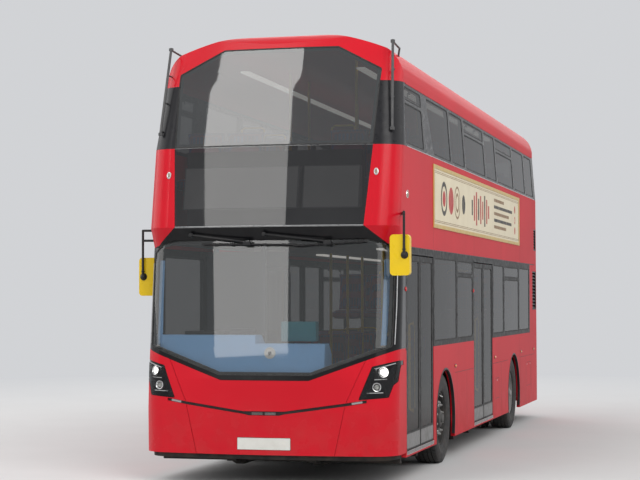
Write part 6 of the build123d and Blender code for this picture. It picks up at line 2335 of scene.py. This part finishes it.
@dataclass
class Bench:
    """Padded seat: a crowned base and a crowned back for each place."""

    width: float = 0.86
    seat_top: float = 0.44
    voxel: float = 0.020
    pressure: float = 4.0
    swell: float = 0.016
    frames: int = 18
    base: tuple[Flat, ...] = (
        (0.012, 0.008), (0.43, 0.008), (0.452, 0.062), (0.40, 0.108), (0.10, 0.096), (0.022, 0.086)
    )
    back: tuple[Flat, ...] = (
        (0.420, 0.085), (0.462, 0.075), (0.510, 0.615), (0.490, 0.632), (0.458, 0.628), (0.408, 0.150)
    )

    def pad(self, name: str, outline: Sequence[Flat], half: float) -> Object:
        """One padded block along X, swollen as a filled cover.

        Args:
            name: Name of the object.
            outline: Side outline as (back, up).
            half: Half its width.

        Returns:
            The object, about its own origin.
        """
        loop = rounded(outline, 0.014, 3)
        mesh = bpy.data.meshes.new(name)
        mesh.from_pydata([(x, y, z) for x in (-half, half) for y, z in loop], [], hull(2, len(loop)))
        obj = link(name, mesh)
        bm = bmesh.new()
        bm.from_mesh(mesh)
        bmesh.ops.recalc_face_normals(bm, faces=bm.faces)
        bm.to_mesh(mesh)
        bm.free()
        remesh = obj.modifiers.new("remesh", "REMESH")
        remesh.mode = "VOXEL"
        remesh.voxel_size = self.voxel
        self.apply(obj)
        self.swell_up(obj)
        return obj

    def apply(self, obj: Object) -> None:
        """Replace an object's mesh by its evaluated mesh and clear its modifiers.

        Args:
            obj: Object whose mesh it is.
        """
        shape = bpy.data.meshes.new_from_object(obj.evaluated_get(bpy.context.evaluated_depsgraph_get()))
        obj.modifiers.clear()
        obj.data = shape

    def swell_up(self, obj: Object) -> None:
        """Blow the cover up as cloth and cap how far it goes.

        Args:
            obj: Cover to swell.
        """
        start = [v.co.copy() for v in obj.data.vertices]
        cloth = obj.modifiers.new("cloth", "CLOTH")
        cloth.settings.use_pressure = True
        cloth.settings.uniform_pressure_force = self.pressure
        cloth.settings.effector_weights.gravity = 0.0
        cloth.settings.quality = 4
        scene = bpy.context.scene
        for step in range(1, self.frames + 1):
            scene.frame_set(step)
        self.apply(obj)
        scene.frame_set(1)
        for v, old in zip(obj.data.vertices, start):
            move = v.co - old
            if move.length > self.swell:
                v.co = old + move.normalized() * self.swell

    def template(self, places: int = 2) -> bpy.types.Mesh:
        """Mesh of one whole seat for a number of people, about the middle of its front edge.

        Args:
            places: How many people it seats.

        Returns:
            The mesh.
        """
        span = self.width / places
        bm = bmesh.new()
        for name, outline in (("bench_base", self.base), ("bench_back", self.back)):
            for k in range(places):
                obj = self.pad(name, outline, span / 2 - 0.014)
                obj.data.transform(Matrix.Translation(((span - 0.004) * (k - (places - 1) / 2), 0, 0)))
                bm.from_mesh(obj.data)
                bpy.data.objects.remove(obj)
        bmesh.ops.smooth_vert(bm, verts=bm.verts, factor=0.5, use_axis_x=True, use_axis_y=True, use_axis_z=True)
        mesh = bpy.data.meshes.new("bench_template")
        bm.to_mesh(mesh)
        bm.free()
        for face in mesh.polygons:
            face.use_smooth = True
        return mesh

    def place(self, name: str, mesh: bpy.types.Mesh, at: Point, finish: Finish) -> Object:
        """Set a seat on its frame.

        Args:
            name: Piece name.
            mesh: Mesh about the middle of its front edge.
            at: Where that point goes.
            finish: Its cloth.

        Returns:
            The piece.
        """
        mesh.transform(Matrix.Translation(at))
        obj = dress(link(name, mesh), finish)
        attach(obj, Body.SHELL.value)
        return obj


@dataclass
class Saloon:
    """Seats, their handles and ceiling lights of both decks."""

    bench: Bench = field(default_factory=Bench)
    bench_x: float = 0.76
    strip_x: float = 0.62
    lower_rows: tuple[tuple[int, float, float], ...] = (
        (-1, 4.42, 0.29), (-1, 5.20, 0.29), (-1, 6.00, 0.29), (1, 3.42, 0.29),
        (-1, 7.30, 1.0604), (1, 7.30, 1.0604), (-1, 7.96, 1.0604), (1, 7.96, 1.0604),
    )
    upper_floor: float = 2.43
    upper_ceiling: float = 4.14
    first_row: float = 0.76
    row_pitch: float = 0.80
    rows: int = 11
    stair_rows: tuple[int, ...] = (2, 3)
    handle: tuple[tuple[float, float, float], ...] = (
        (0.0, -0.012, -0.075), (0.0, 0.0, -0.02), (0.12, 0.004, 0.0),
        (0.88, 0.004, 0.0), (1.0, 0.0, -0.02), (1.0, -0.012, -0.075),
    )
    dressing: tuple[tuple[Finish, tuple[str, ...]], ...] = (
        (Finish.SEAT_SHELL, ("seat_frames",)),
        (Finish.POLE, ("grab_poles", "stair_guard")),
        (Finish.FLOOR, ("staircase",)),
        (Finish.LINING, ("upper_floor", "engine_cover")),
        (Finish.UNDERSIDE, (
            "wheel_housings", "chassis_frame", "cross_members", "front_axle", "rear_axle",
            "knuckle_nearside", "knuckle_offside",
        )),
        (Finish.SATIN_BLACK, ("destination_box",)),
    )

    def places(self) -> list[Point]:
        """Every bench as x, station of its front edge and floor height.

        Returns:
            The places.
        """
        out = [(side * self.bench_x, s, z) for side, s, z in self.lower_rows]
        for side in SIDES:
            rows = [k for k in range(self.rows) if side > 0 or k not in self.stair_rows]
            out += [(side * self.bench_x, self.first_row + self.row_pitch * k, self.upper_floor) for k in rows]
        return out

    def seats(self) -> None:
        """Copy the padded bench to every place, with a handle over its back."""
        template, handles = self.bench.template(), Build()
        for k, (x, s, z) in enumerate(self.places()):
            at = (x, SIZES.y(s), z + self.bench.seat_top)
            self.bench.place(f"bench_{k:02d}", template.copy(), at, Finish.SEAT_CLOTH)
            y, top, way = at[1] + 0.505, at[2] + 0.655, math.copysign(1.0, x)
            handles.tube([(x - way * (0.40 - 0.24 * t), y + dy, top + dz) for t, dy, dz in self.handle], 0.011, 8)
        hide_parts("saloon_seats")
        handles.polish("seat_top_handles", Finish.POLE)

    def ceilings(self) -> None:
        """Light strips under both ceilings."""
        lower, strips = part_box("upper_floor")[0][2], Build()
        for z, starts, b in ((lower, (2.3, 4.5), 8.7), (self.upper_ceiling, (1.4, 1.4), 9.9)):
            for side, a in zip(SIDES, starts):
                count = max(1, round((b - a) / 1.2))
                for k in range(count):
                    p, q = a + (b - a) * k / count + 0.03, a + (b - a) * (k + 1) / count - 0.03
                    x = side * self.strip_x
                    strips.block((x - 0.045, SIZES.y(p), z - 0.022), (x + 0.045, SIZES.y(q), z - 0.001), 0.008)
        strips.polish("ceiling_strips", Finish.CEILING_LIGHT)

    def build(self) -> None:
        """Build the inside of both decks and dress its nodes."""
        self.seats()
        self.ceilings()
        for finish, names in self.dressing:
            for name in names:
                dress(NODES[name], finish)

        def underside_and_painted_shade(face: bpy.types.MeshPolygon) -> bool:
            """Tell whether a face takes the dark finish: the floor's real underside, and its front strip painted dark
            as the shadow under the bumper.
            """
            return face.center.z < 0.30 or face.center.y < SIZES.y(0.075)

        # Painted shade: the floor's front strip is dark to stand for the shadow under the bumper.
        dress(NODES["lower_floor"], Finish.FLOOR, Finish.UNDERSIDE, pick=underside_and_painted_shade)
        log.info("inside: floors, frames and poles dressed")


@dataclass
class Cab:
    """Dash fittings, the driver's padded seat and the partition's trim."""

    seat_at: tuple[float, float, float] = (-0.72, 1.000, 0.850)
    seat_width: float = 0.46
    dial_at: Flat = (0.04, 1.252)

    def dash(self) -> None:
        """Instrument hood, round dial, ticket reader and switch panel on the dash."""
        hood = Build().block((-0.93, SIZES.y(0.42), 1.405), (-0.51, SIZES.y(0.56), 1.455), 0.018)
        hood.polish("instrument_hood", Finish.SATIN_BLACK)
        switches = Build()
        for k in range(7):
            x = -0.42 + 0.042 * k
            switches.block((x, SIZES.y(0.40), 1.4195), (x + 0.030, SIZES.y(0.44), 1.4275), 0.003)
        switches.polish("dash_switches", Finish.SATIN_BLACK)
        reader = Build().block((0.11, SIZES.y(0.22), 1.36), (0.46, SIZES.y(0.34), 1.55), 0.020)
        reader.polish("ticket_reader", Finish.READER)
        face = Build().block((0.15, SIZES.y(0.335), 1.41), (0.42, SIZES.y(0.345), 1.52), 0.004)
        face.finish("ticket_reader_face", Finish.DARK_GLASS)
        x, z = self.dial_at
        at = (x, SIZES.y(NOSE.station(x, z) + 0.045), z)
        dial = [(0.0, TIP), (-0.006, TIP), (-0.006, 0.044), (-0.012, 0.048), (-0.012, 0.054), (0.0, 0.056)]
        Build().turn(dial, at, "Y", 40).polish("dash_dial", Finish.PLATE_WHITE)
        knob = [(0.0, TIP), (-0.016, TIP), (-0.016, 0.014), (-0.006, 0.018), (0.0, 0.018)]
        Build().turn(knob, at, "Y", 24).polish("dash_dial_knob", Finish.SATIN_BLACK)

    def seat(self) -> None:
        """The driver's padded seat with its height lever."""
        x, y, z = self.seat_at[0], SIZES.y(self.seat_at[1]), self.seat_at[2]
        bench = Bench(width=self.seat_width)
        obj = bench.place("driver_bucket_seat", bench.template(1), (x, y, z), Finish.CAB_CLOTH)
        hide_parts("driver_seat")
        path = [(x + 0.20, y + 0.10, z + 0.005), (x + 0.20, y + 0.03, z + 0.003), (x + 0.20, y - 0.01, z + 0.018)]
        Build().tube(path, 0.007, 8).polish("driver_seat_lever", Finish.SATIN_BLACK)

    def build(self) -> None:
        """Build the cab's fittings and dress its nodes."""
        self.dash()
        dress(NODES["dashboard"], Finish.CAB_BLUE)
        dress(NODES["cab_partition"], Finish.SEAT_SHELL)
        door = NODES["cab_door"]

        def pane(face: bpy.types.MeshPolygon) -> bool:
            """Tell whether a face belongs to the pane."""
            low, high = face_xs(door, face)
            return high - low < 0.0125 and -0.322 < low and high < -0.304

        dress(door, Finish.SEAT_SHELL, Finish.DOOR_GLASS, pick=pane)
        self.seat()
        log.info("cab: dash and partition")


def main() -> None:
    """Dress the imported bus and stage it."""
    PhotoCamera().build()
    studio = Studio()
    studio.floor()
    studio.world()
    studio.light()
    for part in (Headlamps(), FrontGlass(), NoseTrim(), Wipers(), Mirrors()):
        part.build()
    for front in (True, False):
        for side in SIDES:
            Wheel(side, front).build()
    for part in (Windows(), Flanks(), Doors(), Poster(), Roof(), Tail(), Saloon(), Cab()):
        part.build()
    for name, node in NODES.items():
        if not node.data.materials or node.data.materials[0] is None or "." in node.data.materials[0].name[-4:]:
            log.warning("node %s has no finish of its own", name)
    bpy.context.scene.view_settings.view_transform = "Standard"
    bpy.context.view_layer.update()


if __name__ == "__main__":
    main()
